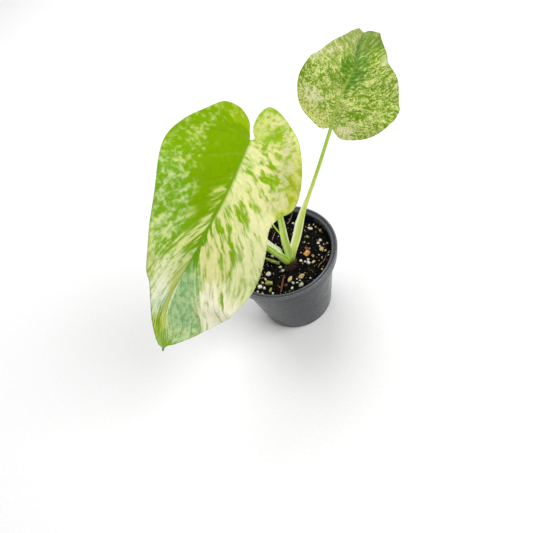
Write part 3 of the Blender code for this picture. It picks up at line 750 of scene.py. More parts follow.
# %% Leaf outlines
# midrib: its points, in mm. faces: the way the upper side faces there. folds: each half's rise, in degrees.
# halves: the margin of the right (1) and left (-1) half as (along the midrib, out from it), in mm. fan: the
# share of the margin whose rows start at the stalk. first: the share where the notch starts. sinus: the arc
# round the stalk's end, as its middle, its half length, and each half's half width and angle. wave, turns:
# the height in mm and the number of the margin's waves. pillow, vein, rib: heights of the relief, in mm.
# rib_end: where the midrib's own colour ends. crest: how the blade curls over near its tip. grain: how long
# and how wide the wander of the marks' borders is, in mm. veins: the rows on which the side veins start.
# bend: how far a vein has left its row when it meets the margin.
FRONT = {
    "midrib": [(7, -6, 208), (-21, -32, 196), (-52, -53, 182), (-83, -69, 163), (-102, -83, 135)],
    "faces": [(0.15, -0.43, 0.89), (0.2, -0.7, 0.7), (0.28, -0.92, 0.28), (0.66, -0.75, 0.08)],
    "folds": [15, 25, 35],
    "halves": {
        1: [(0, 0), (-4.4, 2.5), (-8.4, 4.4), (-12, 7.9), (-15.6, 15.4), (-14, 25.5), (-4, 33.5), (10, 43),
            (24, 49), (40, 49), (66, 43), (97, 35.5), (107, 27), (120, 19), (142, 12.5), (151, 5),
            (154, 1.4), (158, 0)],
        -1: [(0, 0), (-5, -0.8), (-8.3, -1.7), (-14.5, -1.8), (-19.2, -0.5), (-22.1, 1.2), (-23.7, 3.9),
             (-22.7, 9.6), (-16, 20.5), (-4, 32.5), (18, 41.5), (34, 44), (42, 37.5),
             (50, 35), (62, 39), (87, 45), (110, 41), (133, 37), (145, 25), (152, 9), (154, 1.6), (158, 0)],
    },
    "fan": 0.32, "wave": 1.6, "turns": 4.5, "pillow": 0.35, "vein": -0.12, "rib": 0.35, "rib_end": 0.72,
    "crest": {1: (0, 0, 0), -1: (0, 0, 0)},
    "grain": (9, 2.6),
    "first": 0.03, "sinus": (-0.3, 1.8, {1: (0.8, 95), -1: (2.4, 150)}),
    "veins": [0.06, 0.14, 0.22, 0.29, 0.36, 0.43, 0.5, 0.57, 0.64, 0.71, 0.78, 0.86, 0.93],
    "bend": {1: [0, 0, 0, 0.02, 0.07, 0.11, 0.14, 0.15, 0.14, 0.12, 0.1],
             -1: [0, 0, 0, 0, 0.03, 0.06, 0.1, 0.16, 0.2, 0.2, 0.2]},
}
BACK = {
    "midrib": [(74.5, 38, 153), (84, 45.5, 164), (94.5, 52.5, 172), (105.5, 60, 178), (117, 72, 184),
               (127, 84, 187.5), (132, 94, 184), (131, 100, 176)],
    "faces": [(-0.29, -0.78, 0.56), (-0.29, -0.78, 0.56), (-0.2, -0.6, 0.75), (0.1, 0.2, 0.97)],
    "folds": [10, 12, 16],
    "halves": {
        1: [(0, 0), (-5, 5.5), (-7.5, 12), (-3.9, 27), (3.3, 38), (12, 44), (25.7, 47), (35, 45.5),
            (46, 36.5), (55, 26), (64, 22.2), (74, 15.8), (82, 12.6), (90, 8.5), (96, 4.5), (101.5, 0)],
        -1: [(0, 0), (-2.6, 5.5), (-1.8, 11), (6.5, 24), (15.5, 32.4), (25.2, 36.7), (38, 34.8), (49, 31.4),
             (58.2, 26), (67, 19.4), (76, 13.4), (86, 9.5), (95, 5), (101.5, 0)],
    },
    "fan": 0.34, "wave": 1.0, "turns": 3.5, "pillow": 0.6, "vein": 0.35, "rib": 0.8, "rib_end": 0.5,
    "crest": {1: (-1.0, 0.0, -5.6), -1: (-1.0, 3.2, -2.0)}, "grain": (5, 1.8),
    "first": 0.02, "sinus": (-0.3, 1.0, {1: (0.9, 100), -1: (0.9, 100)}),
    "veins": [0.06, 0.13, 0.19, 0.25, 0.3, 0.345, 0.385, 0.43, 0.475, 0.52, 0.575, 0.635, 0.7, 0.78, 0.87],
    "bend": {1: [-0.05, -0.09, -0.11, -0.09, -0.04, 0.02, 0.06, 0.08, 0.1, 0.1, 0.1],
             -1: [-0.06, -0.1, -0.12, -0.11, -0.07, -0.03, 0, 0.03, 0.05, 0.05, 0.05]},
}
ROW_SWEEP = 1.25
BEND_POWER = 0.7
MARGIN_LENGTH = 235
VEIN_WIDTH = 0.9
CREST_AT = 0.91
CREST_WIDTH = 0.06
LEAF_ROWS = 360
LEAF_COLUMNS = 46
CROWDING = 0.7

# %% Leaf surface
def vein_start(leaf, side, share, out):
    """The row on which the vein through a place starts: veins leave the midrib steeply, then bend."""
    return share - between(leaf["bend"][side], share) * out**BEND_POWER


def relief(leaf, vein, share, out, row):
    """Height of the skin over the plain sheet: pillows, side veins and midrib."""
    veins = np.array([-0.1] + leaf["veins"] + [1.0])
    cell = np.clip(np.searchsorted(veins, vein, side="right") - 1, 0, len(veins) - 2)
    t = np.clip((vein - veins[cell]) / (veins[cell + 1] - veins[cell]), 0, 1)
    spread = out + (1 - out) * np.clip((share - leaf["fan"]) * 12, 0, 1)
    swell = np.sin(math.pi * t) * np.sin(math.pi * out) ** 0.7 * np.minimum(1, row / 30)
    nearest = np.abs(vein[:, None] - np.array(leaf["veins"])[None, :]).min(axis=1) * MARGIN_LENGTH * spread
    side_vein = hump(nearest, VEIN_WIDTH) * (1 - out) ** 0.5 * np.minimum(1, out * 12)
    midrib = hump(out * row, 1.0) * (1 - 0.7 * share) * np.clip(share / leaf["fan"] * 3 - 2, 0, 1)
    return (leaf["pillow"] * swell + leaf["vein"] * side_vein) * spread + leaf["rib"] * midrib, nearest


def leaf_half(name, leaf, side):
    """One half of a leaf as a grid, with its UV map in mm along and across the veins."""
    line, length = smooth_line(leaf["midrib"], 200)
    margin, reach = smooth_line(leaf["halves"][side], 400)
    store = {}

    def place(u, v):
        out = u - CROWDING * np.sin(math.tau * u) / math.tau
        share = leaf["first"] + (1 - leaf["first"]) * v
        end_along, end_across = between(margin, share).T
        middle, half_long, (half_wide, corner) = *leaf["sinus"][:2], leaf["sinus"][2][side]
        angle = math.radians(corner) * np.maximum(0, (leaf["fan"] - share) / (leaf["fan"] - leaf["first"]))
        start_across = half_wide * np.sin(angle)
        start = middle + half_long * np.cos(angle)
        start += (length - start) * np.maximum(0, (share - leaf["fan"]) / (1 - leaf["fan"]))
        row = np.hypot(end_along - start, end_across - start_across)
        along = start + (end_along - start) * out**ROW_SWEEP
        across = start_across + (end_across - start_across) * out
        inside = np.clip(along, 0, length)
        spot = inside / length
        centre, ahead, up = square_frame(line, spot, between(leaf["faces"], spot), 0.012)
        sideways = np.cross(ahead, up) * side
        fold = np.radians(between(leaf["folds"], spot))[:, None]
        vein = vein_start(leaf, side, share, out)
        raised, nearest = relief(leaf, vein, share, out, row)
        ripple = np.sin(math.tau * leaf["turns"] * share + side) * np.sin(math.pi * share)
        sink, inner, outer = leaf["crest"][side]
        curl = sink + inner * np.minimum(1, 2 * out) ** 1.5 + outer * out**4
        wave = leaf["wave"] * out**2 * ripple + hump(share - CREST_AT, CREST_WIDTH) * curl
        store.update(share=share, out=out, row=row, from_rib=out * row, vein=vein, near_vein=nearest,
                     along_vein=vein * reach, start=np.maximum(0, start) / length)
        flat = centre + ahead * (along - inside)[:, None]
        folded = across[:, None] * (sideways * np.cos(fold) + up * np.sin(fold))
        return flat + folded + up * (wave + raised)[:, None]

    piece, u, v = sheet(name, LEAF_COLUMNS, LEAF_ROWS, place)
    lay_map(piece, side * store["from_rib"], store["along_vein"])
    return piece, store


print("a leaf half has", LEAF_ROWS, "rows along its veins")

# %% [markdown]
# ### Markings
# The marbling comes from cells that lost their green, and each line of such cells was stretched as the leaf
# grew, so the patches run along the veins. The real leaf is a patchwork of areas, each with two colours and
# its own share of green. So the layout is given in zones laid one over another: a zone has the
# softness of its border, how green it is, how far the noise swings that, how fine its marks are, and its
# pale and its green colour. Its limits are places out from the midrib, each with the two shares of the
# margin between which the zone reaches. A spot then adds or takes green in a soft oval along a vein: its
# share along the margin, its share out from the midrib, the half sizes of both, and how much. The fine
# structure comes from noise in the material.

# %% Marks of the front leaf
# a zone: softness, level, swing, fineness, pale colour, green colour, and limits (out, from share, to share)
FRONT_MARKS = {
    1: {
        "margin": 0.0,
        "zones": [
            (1, 0.94, 0.14, 0.6, "B9CC58", "769E00", [(0, -9, 9)]),
            (0.1, 0.9, 0.2, 0.8, "C6D44C", "8FB006", [(0.3, 0.06, 0), (0.5, -9, 0.16), (1, -9, 0.13)]),
            (0.12, 0.8, 0.42, 0.75, "C6D470", "749E00",
             [(0.3, 0.5, 0.46), (0.45, 0.46, 0.5), (0.55, 0.3, 0.6), (0.7, 0.16, 0.66),
              (0.85, 0.06, 0.66), (1, 0.04, 0.66)]),
            (0.06, 0.66, 0.36, 0.7, "BCCC4A", "7CA204",
             [(0.6, 0.12, 0.08), (0.8, 0.0, 0.15), (1, -0.1, 0.16)]),
            (0.1, 0.66, 0.46, 0.75, "C6D98E", "70A010",
             [(0.25, 0.62, 0.58), (0.45, 0.56, 0.6), (0.55, 0.48, 0.66), (0.75, 0.42, 0.66),
              (1, 0.4, 0.66)]),
            (0.06, 0.44, 0.5, 0.7, "CDDA92", "74A21A",
             [(0.5, 0.64, 0.6), (0.75, 0.585, 0.66), (1, 0.56, 0.68)]),
            (0.04, 0.46, 0.5, 0.2, "CCD678", "7CA408",
             [(0, 0.54, 0.46), (0.04, 0.447, 0.53), (0.15, 0.48, 0.535), (0.25, 0.53, 0.52)]),
            (0.04, 0.36, 0.56, 0.3, "D8DE92", "7AA612",
             [(0, 0.61, 0.58), (0.05, 0.565, 0.62), (0.12, 0.58, 0.64), (0.22, 0.59, 0.66),
              (0.35, 0.61, 0.68), (0.5, 0.635, 0.69), (0.7, 0.68, 0.67)]),
            (0.05, 0.28, 0.52, 0.7, "DEE2AE", "86AC30",
             [(0, 0.66, 0.9), (0.1, 0.665, 0.85), (0.3, 0.67, 0.845), (1, 0.665, 0.845)]),
            (0.05, 0.4, 0.45, 0.65, "D0D690", "86AA38",
             [(0.75, 0.7, 0.66), (0.88, 0.66, 0.73), (1, 0.64, 0.74)]),
            (0.06, 0.3, 0.4, 0.3, "BEC66E", "8FA640",
             [(0, 0.71, 0.9), (0.15, 0.72, 0.9), (0.3, 0.735, 0.88), (0.42, 0.79, 0.82)]),
            (0.05, 0.16, 0.5, 0.7, "EEEFD0", "98B860",
             [(0.38, 0.77, 0.75), (0.5, 0.73, 0.81), (0.7, 0.71, 0.81), (1, 0.73, 0.8)]),
            (0.04, 0.4, 0.7, 0.4, "D8E4C4", "7CA468",
             [(0.2, 0.83, 0.79), (0.35, 0.79, 0.84), (1, 0.795, 0.84)]),
            (0.03, 0.66, 0.75, 0.4, "CED366", "709204",
             [(0.08, 0.89, 0.85), (0.3, 0.855, 0.875), (0.6, 0.845, 0.885), (1, 0.835, 0.9)]),
            (0.03, 0.24, 0.5, 0.3, "CECE6C", "90A618",
             [(0, 0.865, 0.93), (0.3, 0.875, 0.915), (0.8, 0.9, 0.9)]),
            (0.03, 0.6, 0.6, 0.4, "C2D27C", "7AA428", [(0, 0.935, 9), (0.5, 0.912, 9), (1, 0.9, 9)]),
            (0.1, 0.85, 0.3, 0.5, "BCD25C", "78A010", [(0, -9, 9), (0.004, 9, -9)]),
        ],
        "spots": [
            (0.14, 0.7, 0.014, 0.09, -0.24), (0.11, 0.85, 0.014, 0.08, -0.2),
            (0.24, 0.8, 0.014, 0.09, -0.08), (0.25, 0.66, 0.01, 0.05, -0.08),
            (0.3, 0.7, 0.022, 0.09, -0.26), (0.35, 0.38, 0.014, 0.07, -0.24),
            (0.35, 0.66, 0.012, 0.06, -0.2), (0.42, 0.76, 0.014, 0.1, -0.15),
            (0.44, 0.48, 0.012, 0.06, -0.3), (0.575, 0.45, 0.012, 0.1, -0.45),
            (0.52, 0.46, 0.01, 0.06, -0.15), (0.665, 0.18, 0.014, 0.09, 0.55),
            (0.655, 0.8, 0.011, 0.07, 0.35), (0.675, 0.73, 0.01, 0.07, 0.4),
            (0.62, 0.02, 0.03, 0.05, 0.5), (0.865, 0.65, 0.012, 0.12, 0.25),
            (0.7, 0.12, 0.01, 0.12, 0.15), (0.645, 0.55, 0.008, 0.07, 0.3),
        ],
    },
    -1: {
        "margin": 0.12,
        "zones": [
            (1, 0.26, 0.62, 0.25, "E2E09C", "82AA0C", [(0, -9, 9)]),
            (0.1, 0.2, 0.6, 0.3, "E2E0A6", "86AC1C",
             [(0.35, 0.56, 0.52), (0.5, 0.48, 0.6), (0.7, 0.45, 0.8), (1, 0.45, 0.8)]),
            (0.08, 0.2, 0.46, 0.3, "E2E2A2", "84AC14",
             [(0, 0.3, 0.56), (0.2, 0.3, 0.52), (0.36, 0.42, 0.38)]),
            (0.04, 0.34, 0.34, 0.95, "DCDA90", "86AC14", [(0, -9, 0.33), (1, -9, 0.35)]),
            (0.08, 0.4, 0.26, 0.95, "D2D680", "8CB21E",
             [(0, -9, 0.3), (0.3, -9, 0.24), (0.6, -9, 0.13), (1, -9, 0.1)]),
            (0.08, 0.32, 0.44, 0.85, "D4CF98", "8AAE18",
             [(0.5, 0.42, 0.32), (0.65, 0.22, 0.43), (0.85, 0.17, 0.43), (0.97, 0.3, 0.26)]),
            (0.07, 0.36, 0.44, 0.6, "CED270", "9CAC1E",
             [(0.78, 0.4, 0.34), (0.88, 0.3, 0.42), (1, 0.24, 0.46)]),
            (0.06, 0.14, 0.5, 0.3, "E9EBAE", "8CAE40",
             [(0.5, 0.6, 0.52), (0.6, 0.52, 0.74), (1, 0.52, 0.74)]),
            # Painted light: this zone near the tip gets a paler colour still, which stands in for light where
            # the blade turns away from the key lamp.
            (0.06, 0.06, 0.5, 0.3, "FFFBDC", "8CAE40",
             [(0.28, 0.8, 0.72), (0.45, 0.7, 0.78), (0.6, 0.7, 0.83), (0.75, 0.7, 0.86), (1, 0.7, 0.88)]),
            (0.03, 0.82, 0.4, 0.3, "B0C866", "659C12",
             [(0, 0.58, 0.76), (0.04, 0.62, 0.74), (0.1, 0.68, 0.735), (0.17, 0.74, 0.7)]),
            (0.07, 0.48, 0.42, 0.75, "BAD79E", "7CAB70",
             [(0, 0.74, 0.94), (0.05, 0.715, 0.94), (0.3, 0.73, 0.94), (0.42, 0.78, 0.94),
              (0.5, 0.82, 0.94), (0.6, 0.845, 0.94), (0.7, 0.86, 0.94), (1, 0.89, 0.94)]),
            (0.04, 0.34, 0.5, 0.7, "D0E2AA", "84B05C", [(0, 0.885, 0.95), (1, 0.9, 0.96)]),
            (0.02, 0.7, 0.3, 0.4, "AEC658", "80A82E", [(0, 0.95, 9)]),
            (0.03, 0.1, 0.1, 0.3, "DCE2BC", "B0C68A",
             [(0, 0.77, 0.88), (0.028, 0.78, 0.87), (0.05, 0.86, 0.81)]),
            (0.1, 0.85, 0.3, 0.5, "BCD25C", "78A010", [(0, -9, 9), (0.004, 9, -9)]),
        ],
        "spots": [
            (0.215, 0.42, 0.03, 0.15, 0.6), (0.2, 0.56, 0.02, 0.12, 0.56),
            (0.185, 0.74, 0.016, 0.12, 0.3), (0.27, 0.28, 0.045, 0.06, 0.5),
            (0.31, 0.25, 0.018, 0.05, 0.3), (0.23, 0.7, 0.016, 0.1, 0.25), (0.1, 0.86, 0.02, 0.1, 0.25),
            (0.12, 0.96, 0.024, 0.05, 0.25), (0.25, 0.8, 0.014, 0.12, 0.22),
            (0.31, 0.68, 0.012, 0.14, 0.3), (0.325, 0.5, 0.01, 0.14, 0.2),
            (0.37, 0.84, 0.016, 0.08, 0.36), (0.37, 0.52, 0.016, 0.09, 0.6),
            (0.39, 0.46, 0.012, 0.08, 0.4), (0.405, 0.56, 0.01, 0.08, 0.36),
            (0.412, 0.28, 0.013, 0.13, 0.5), (0.4, 0.18, 0.008, 0.08, 0.25),
            (0.405, 0.07, 0.012, 0.05, 0.22), (0.335, 0.2, 0.008, 0.1, 0.2),
            (0.48, 0.37, 0.009, 0.08, 0.3), (0.513, 0.33, 0.012, 0.08, 0.46),
            (0.51, 0.5, 0.014, 0.12, 0.5), (0.535, 0.62, 0.01, 0.14, 0.2), (0.52, 0.1, 0.01, 0.08, 0.24),
            (0.57, 0.22, 0.016, 0.08, 0.5), (0.575, 0.34, 0.02, 0.07, 0.6),
            (0.61, 0.15, 0.008, 0.08, 0.25), (0.605, 0.06, 0.01, 0.05, 0.24),
            (0.61, 0.7, 0.012, 0.1, 0.5), (0.61, 0.5, 0.013, 0.1, 0.46), (0.628, 0.57, 0.01, 0.06, 0.3),
            (0.66, 0.5, 0.009, 0.08, 0.46), (0.655, 0.88, 0.01, 0.08, 0.36),
            (0.7, 0.72, 0.012, 0.07, 0.6), (0.69, 0.55, 0.008, 0.06, 0.3), (0.71, 0.48, 0.01, 0.06, 0.2),
            (0.71, 0.15, 0.014, 0.12, 0.28), (0.45, 0.15, 0.03, 0.12, -0.1),
        ],
    },
}

# %% Marks of the back leaf
BACK_MARKS = {
    1: {
        "margin": 0.1,
        "zones": [
            (1, 0.62, 0.66, 0.6, "D2D886", "668C0C", [(0, -9, 9)]),
            (0.12, 0.2, 0.6, 0.8, "E2DCB0", "98A640",
             [(0.04, 0.4, 0.26), (0.15, 0.15, 0.33), (0.3, 0.1, 0.33), (0.5, 0.08, 0.27),
              (0.6, 0.08, 0.19), (1, 0.07, 0.13)]),
            (0.08, 0.46, 0.6, 0.6, "CED684", "6E9012",
             [(0.5, 0.3, 0.18), (0.6, 0.16, 0.32), (1, 0.15, 0.33)]),
            (0.06, 0.46, 0.5, 0.6, "CECC90", "94983A",
             [(0.3, 0.06, -0.06), (0.5, -9, 0.1), (1, -9, 0.08)]),
            (0.1, 0.7, 0.6, 0.35, "BCCE7E", "54801E",
             [(0, 0.48, 0.92), (0.1, 0.52, 0.84), (0.25, 0.55, 0.8), (0.38, 0.57, 0.76),
              (0.5, 0.74, 0.6)]),
            (0.08, 0.78, 0.4, 0.35, "A6BE62", "4E7A22",
             [(0, 0.53, 0.8), (0.1, 0.55, 0.72), (0.18, 0.58, 0.68), (0.28, 0.7, 0.58)]),
            (0.1, 0.42, 0.5, 0.6, "D8D8AC", "94A650",
             [(0.68, 0.74, 0.65), (0.85, 0.66, 0.71), (1, 0.65, 0.72)]),
            (0.08, 0.8, 0.6, 0.4, "B2BC70", "64802A", [(0, 0.74, 9)]),
        ],
        "spots": [
            (0.39, 0.38, 0.014, 0.1, 0.35), (0.37, 0.65, 0.026, 0.1, -0.25),
            (0.35, 0.42, 0.01, 0.14, -0.4), (0.47, 0.15, 0.014, 0.09, -0.5),
            (0.44, 0.32, 0.01, 0.07, -0.4), (0.585, 0.45, 0.012, 0.09, -0.4),
            (0.62, 0.15, 0.02, 0.1, 0.2), (0.45, 0.55, 0.012, 0.06, 0.25),
            (0.71, 0.65, 0.014, 0.12, 0.25), (0.56, 0.97, 0.03, 0.05, -0.35),
            (0.69, 0.45, 0.02, 0.12, 0.2), (0.2, 0.8, 0.03, 0.15, 0.22), (0.3, 0.6, 0.02, 0.12, -0.1),
            (0.79, 0.85, 0.014, 0.15, 0.25),
        ],
    },
    -1: {
        "margin": 0.1,
        "zones": [
            (1, 0.58, 0.56, 0.55, "CED286", "72922A", [(0, -9, 9)]),
            (0.1, 0.55, 0.68, 0.6, "D4DA88", "688E10", [(0, -9, 0.52), (0.4, -9, 0.55), (1, -9, 0.5)]),
            (0.1, 0.36, 0.6, 0.95, "D6DA8C", "8E9E28",
             [(0, -9, 0.36), (0.5, -9, 0.38), (0.8, -9, 0.36), (1, -9, 0.31)]),
            (0.1, 0.66, 0.6, 0.6, "CCD080", "7C9A28", [(0, -9, 0.3), (0.14, -9, 0.3), (0.22, 0.2, -0.2)]),
            (0.05, 0.28, 0.6, 0.4, "DEDCAC", "84A038",
             [(0.18, 0.46, 0.4), (0.4, 0.385, 0.43), (0.6, 0.355, 0.4), (0.8, 0.34, 0.37),
              (0.97, 0.37, 0.31)]),
            (0.1, 0.78, 0.5, 0.35, "A8C460", "4C7A16",
             [(0, 0.53, 0.72), (0.12, 0.56, 0.69), (0.35, 0.57, 0.68), (0.5, 0.68, 0.6)]),
            (0.1, 0.52, 0.55, 0.6, "D4D09E", "909C48",
             [(0.55, 0.72, 0.59), (0.72, 0.61, 0.7), (0.85, 0.59, 0.73), (1, 0.57, 0.74)]),
            (0.08, 0.46, 0.55, 0.5, "D2D3A2", "90A24C",
             [(0.74, 0.56, 0.46), (0.88, 0.47, 0.56), (1, 0.45, 0.58)]),
            (0.1, 0.74, 0.6, 0.4, "BAC27C", "82944A", [(0, 0.72, 9)]),
            (0.1, 0.8, 0.45, 0.4, "95A866", "527434",
             [(0, 0.68, 0.9), (0.1, 0.7, 0.88), (0.18, 0.79, 0.83), (0.28, 0.87, 0.75)]),
        ],
        "spots": [
            (0.525, 0.33, 0.012, 0.16, 0.45), (0.38, 0.28, 0.016, 0.1, 0.3),
            (0.63, 0.62, 0.014, 0.08, 0.3), (0.465, 0.75, 0.012, 0.18, -0.2),
            (0.46, 0.52, 0.012, 0.12, 0.25), (0.56, 0.08, 0.02, 0.1, 0.25), (0.64, 0.22, 0.02, 0.14, 0.2),
            (0.25, 0.45, 0.03, 0.08, 0.1), (0.42, 0.9, 0.02, 0.08, 0.3),
        ],
    },
}

# %% Painting the marks
SHARE_WANDER = 0.04
OUT_WANDER = 0.12
MARGIN_BAND = 3.0


def look(level, swing, fine, light, dark):
    return np.array([level, swing, fine, *linear(light)[:3], *linear(dark)[:3]])


def soft_step(distance):
    t = np.clip(distance + 0.5, 0, 1)
    return t * t * (3 - 2 * t)


def zone_weight(share, out, soft, limits):
    """How much of a zone reaches each vertex."""
    outs, tops, feet = np.array(limits, float).T
    top, foot = np.interp(out, outs, tops), np.interp(out, outs, feet)
    return soft_step((share - top) / soft) * soft_step((foot - share) / soft)


def spot_weight(leaf, side, vein, out, at, middle, half_share, half_out):
    """The same for a spot, which lies along the vein that passes its middle."""
    through = vein_start(leaf, side, np.array([at]), np.array([middle]))
    return hump(vein - through, half_share) * hump(out - middle, half_out)


def paint_half(piece, store, leaf, side, marks):
    """Paints how green a place is, how much that swings, how fine the marks are, and the two colours."""
    out, grain = store["out"], leaf["grain"]
    places = np.stack([store["from_rib"] / grain[0], store["along_vein"] / grain[1]], axis=1)
    stir = np.array([[noise.noise(Vector((x, y, z))) for z in (0.5, 9.5)] for x, y in places])
    share = store["share"] + SHARE_WANDER * stir[:, 0]
    vein = store["vein"] + 0.3 * SHARE_WANDER * stir[:, 0]
    stirred = out + OUT_WANDER * stir[:, 1] * np.minimum(1, out * 8)
    values = np.zeros((len(out), 9))
    for soft, *finish, limits in marks["zones"]:
        weight = zone_weight(share, stirred, soft, limits)[:, None]
        values = values * (1 - weight) + look(*finish) * weight
    for *oval, amount in marks["spots"]:
        values[:, 0] += amount * spot_weight(leaf, side, vein, stirred, *oval)
    from_edge = (1 - out) * store["row"]
    values[:, 0] += marks["margin"] * hump(from_edge, MARGIN_BAND)
    paint(piece, "marks", np.clip(values[:, :3], 0, 1))
    paint(piece, "light", values[:, 3:6])
    paint(piece, "dark", values[:, 6:])
    past_base = np.clip((store["share"] - leaf["fan"] * 0.97) * 60, 0, 1)
    before_tip = np.clip((leaf["rib_end"] - store["start"]) * 6, 0, 1)
    paint(piece, "midrib", hump(store["from_rib"], 1.5 - 0.9 * store["start"]) * past_base * before_tip)
    paint(piece, "vein", hump(store["near_vein"], 0.6) * (1 - out))
    paint(piece, "edge", hump(from_edge, 0.7))


print("zones:", sum(len(half["zones"]) for leaf in (FRONT_MARKS, BACK_MARKS) for half in leaf.values()))

# %% Building a leaf
RIB_THICKNESS = 2.2
EDGE_THICKNESS = 0.6


def build_leaf(name, leaf, marks):
    """Both halves joined on the midrib, then thickened downwards."""
    halves = []
    for side in (1, -1):
        piece, store = leaf_half(f"{name}_{'right' if side > 0 else 'left'}", leaf, side)
        paint_half(piece, store, leaf, side, marks[side])
        rib = (RIB_THICKNESS - 1.2 * store["start"]) * (1 - 0.05 * store["from_rib"]) - EDGE_THICKNESS
        past_sinus = np.clip(store["share"] / leaf["fan"] * 2.5 - 1.5, 0, 1)
        thickness = EDGE_THICKNESS + np.maximum(0, rib) * past_sinus
        group = piece.vertex_groups.new(name="thickness")
        for i, weight in enumerate(thickness / RIB_THICKNESS):
            group.add([i], weight, "REPLACE")
        if side < 0:
            in_edit_mode(piece, (bpy.ops.mesh.flip_normals, {}))
        halves.append(piece)
    blade = joined(name, *halves)
    in_edit_mode(blade, (bpy.ops.mesh.remove_doubles, {"threshold": 0.004 * MM}))
    modify(blade, "SOLIDIFY", thickness=RIB_THICKNESS * MM, offset=-1, vertex_group="thickness",
           use_rim=True, material_offset=1, material_offset_rim=0)
    return blade


leaf_front = build_leaf("blade_of_front_leaf", FRONT, FRONT_MARKS)
leaf_back = build_leaf("blade_of_back_leaf", BACK, BACK_MARKS)
print("leaf faces:", len(leaf_front.data.polygons), len(leaf_back.data.polygons))

# %% [markdown]
# ### Leaf skin
# A monstera leaf is covered by a waxy cuticle with an index of refraction near 1.45, satin above and duller
# below. The material mixes the two painted colours by a mask, which is the painted level plus a noise. That
# noise is blended from broad patches, narrow streaks and round flecks, and the painted fineness sets their
# shares. Patches and streaks are stretched along the veins, and a steep ramp turns the sum into marks with
# soft, watercolour edges. The weak mirror reflection is tinted green, because these greens hold next to no
# blue in a strong light.

# %% Leaf material
def leaf_skin(name, patch, streak, fleck, tints, underside):
    """Marbled leaf skin. Patch and streak are a length and a width in mm, and fleck is a size."""
    material, add = new_material(name)
    place = add("TexCoord").outputs["Object"]
    uv = add("UVMap", uv_map="length").outputs["UV"]
    wander = add("TexNoise", {"Vector": place, "Scale": 1 / (7 * MM), "Detail": 2.0}).outputs["Color"]
    centred = add("VectorMath", {0: wander, 1: (0.5, 0.5, 0.5)}, operation="SUBTRACT").outputs[0]
    small = add("VectorMath", {0: centred, "Scale": 4 / MAP_UNIT}, operation="SCALE").outputs[0]
    warped = add("VectorMath", {0: uv, 1: small}, operation="ADD").outputs[0]
    noises = []
    for length, width in (patch, streak):
        scale = (MAP_UNIT / length, MAP_UNIT / width, 1.0)
        fitted = add("Mapping", {"Vector": warped, "Scale": scale}).outputs[0]
        noises.append(add("TexNoise", {"Vector": fitted, "Scale": 1.0, "Detail": 2.0,
                                       "Roughness": 0.55}).outputs["Fac"])
    flecks = add("TexNoise", {"Vector": place, "Scale": 1 / (fleck * MM),
                              "Detail": 2.0}).outputs["Fac"]
    marks = add("Attribute", attribute_name="marks").outputs["Color"]
    level, swing, fine = add("SeparateColor", {"Color": marks}).outputs
    grain = add("Mix", {0: fine, 2: noises[1], 3: flecks}).outputs[0]
    broad = add("MapRange", {"Value": fine, "To Min": 0.75, "To Max": 0.1}).outputs[0]
    blend = add("Mix", {0: broad, 2: grain, 3: noises[0]}).outputs[0]
    centred = add("MapRange", {"Value": blend, "From Min": 0.38, "From Max": 0.62, "To Min": -1.0},
                  clamp=False).outputs[0]
    total = add("Math", {0: centred, 1: swing, 2: level}, operation="MULTIPLY_ADD").outputs[0]
    mask = add("MapRange", {"Value": total, "From Min": 0.08, "From Max": 0.92},
               interpolation_type="SMOOTHSTEP").outputs[0]
    light = add("Attribute", attribute_name="light").outputs["Color"]
    dark = add("Attribute", attribute_name="dark").outputs["Color"]
    marbled = add("Mix", {0: mask, 6: light, 7: dark}, data_type="RGBA").outputs[2]
    tone = add("MapRange", {"Value": flecks, "From Min": 0.3, "From Max": 0.7, "To Min": 0.92,
                            "To Max": 1.06}).outputs[0]
    colour = add("HueSaturation", {"Color": marbled, "Value": tone}).outputs[0]
    for layer, (amount, tint) in tints.items():
        there = add("Attribute", attribute_name=layer).outputs["Fac"]
        share = add("Math", {0: there, 1: amount}, operation="MULTIPLY").outputs[0]
        colour = add("Mix", {0: share, 6: colour, 7: linear(tint)}, data_type="RGBA").outputs[2]
    if underside:
        colour = add("Mix", {0: 0.4, 6: colour, 7: linear("B4C884")}, data_type="RGBA").outputs[2]
    cells = add("TexNoise", {"Vector": place, "Scale": 1 / (0.9 * MM), "Detail": 3.0}).outputs["Fac"]
    pucker = add("Math", {0: noises[0], 1: 3.0, 2: cells}, operation="MULTIPLY_ADD").outputs[0]
    bump = add("Bump", {"Height": pucker, "Strength": 0.15, "Distance": 0.3 * MM}).outputs[0]
    shader = add("BsdfPrincipled", {"Base Color": colour, "Roughness": 0.6 if underside else 0.46,
                                    "Normal": bump, "IOR": 1.45, "Specular IOR Level": 0.08,
                                    "Specular Tint": (0.8, 1.0, 0.05, 1.0)})
    add("OutputMaterial", {"Surface": shader.outputs[0]})
    return material


LEAF_FINISHES = {
    "long": ((10, 4.5), (7, 1.9), 3.4,
             {"vein": (0.05, "C8D684"), "midrib": (0.75, "6E9A18"), "edge": (0.3, "7FA83A")}),
    "short": ((4.2, 1.9), (2.6, 0.85), 1.15,
              {"vein": (0.2, "D0D886"), "midrib": (0.8, "9CB248"), "edge": (0.3, "7FA83A")}),
}
for piece, node, marks in ((leaf_front, "leaf_front", "long"), (leaf_back, "leaf_back", "short")):
    skins = [leaf_skin(f"waxy_variegated_leaf_{marks}_marks", *LEAF_FINISHES[marks], False),
             leaf_skin(f"dull_leaf_underside_{marks}_marks", *LEAF_FINISHES[marks], True)]
    finish_piece(piece, skins, "leaf", node)

# %% [markdown]
# ## Small things on the mix
# A root shoot, a forked twig and a chip of bark lie on the mix beside the crown. The first two are rolled
# grids with a knobbly radius, and the chip is a block that is subdivided, roughened and bevelled.

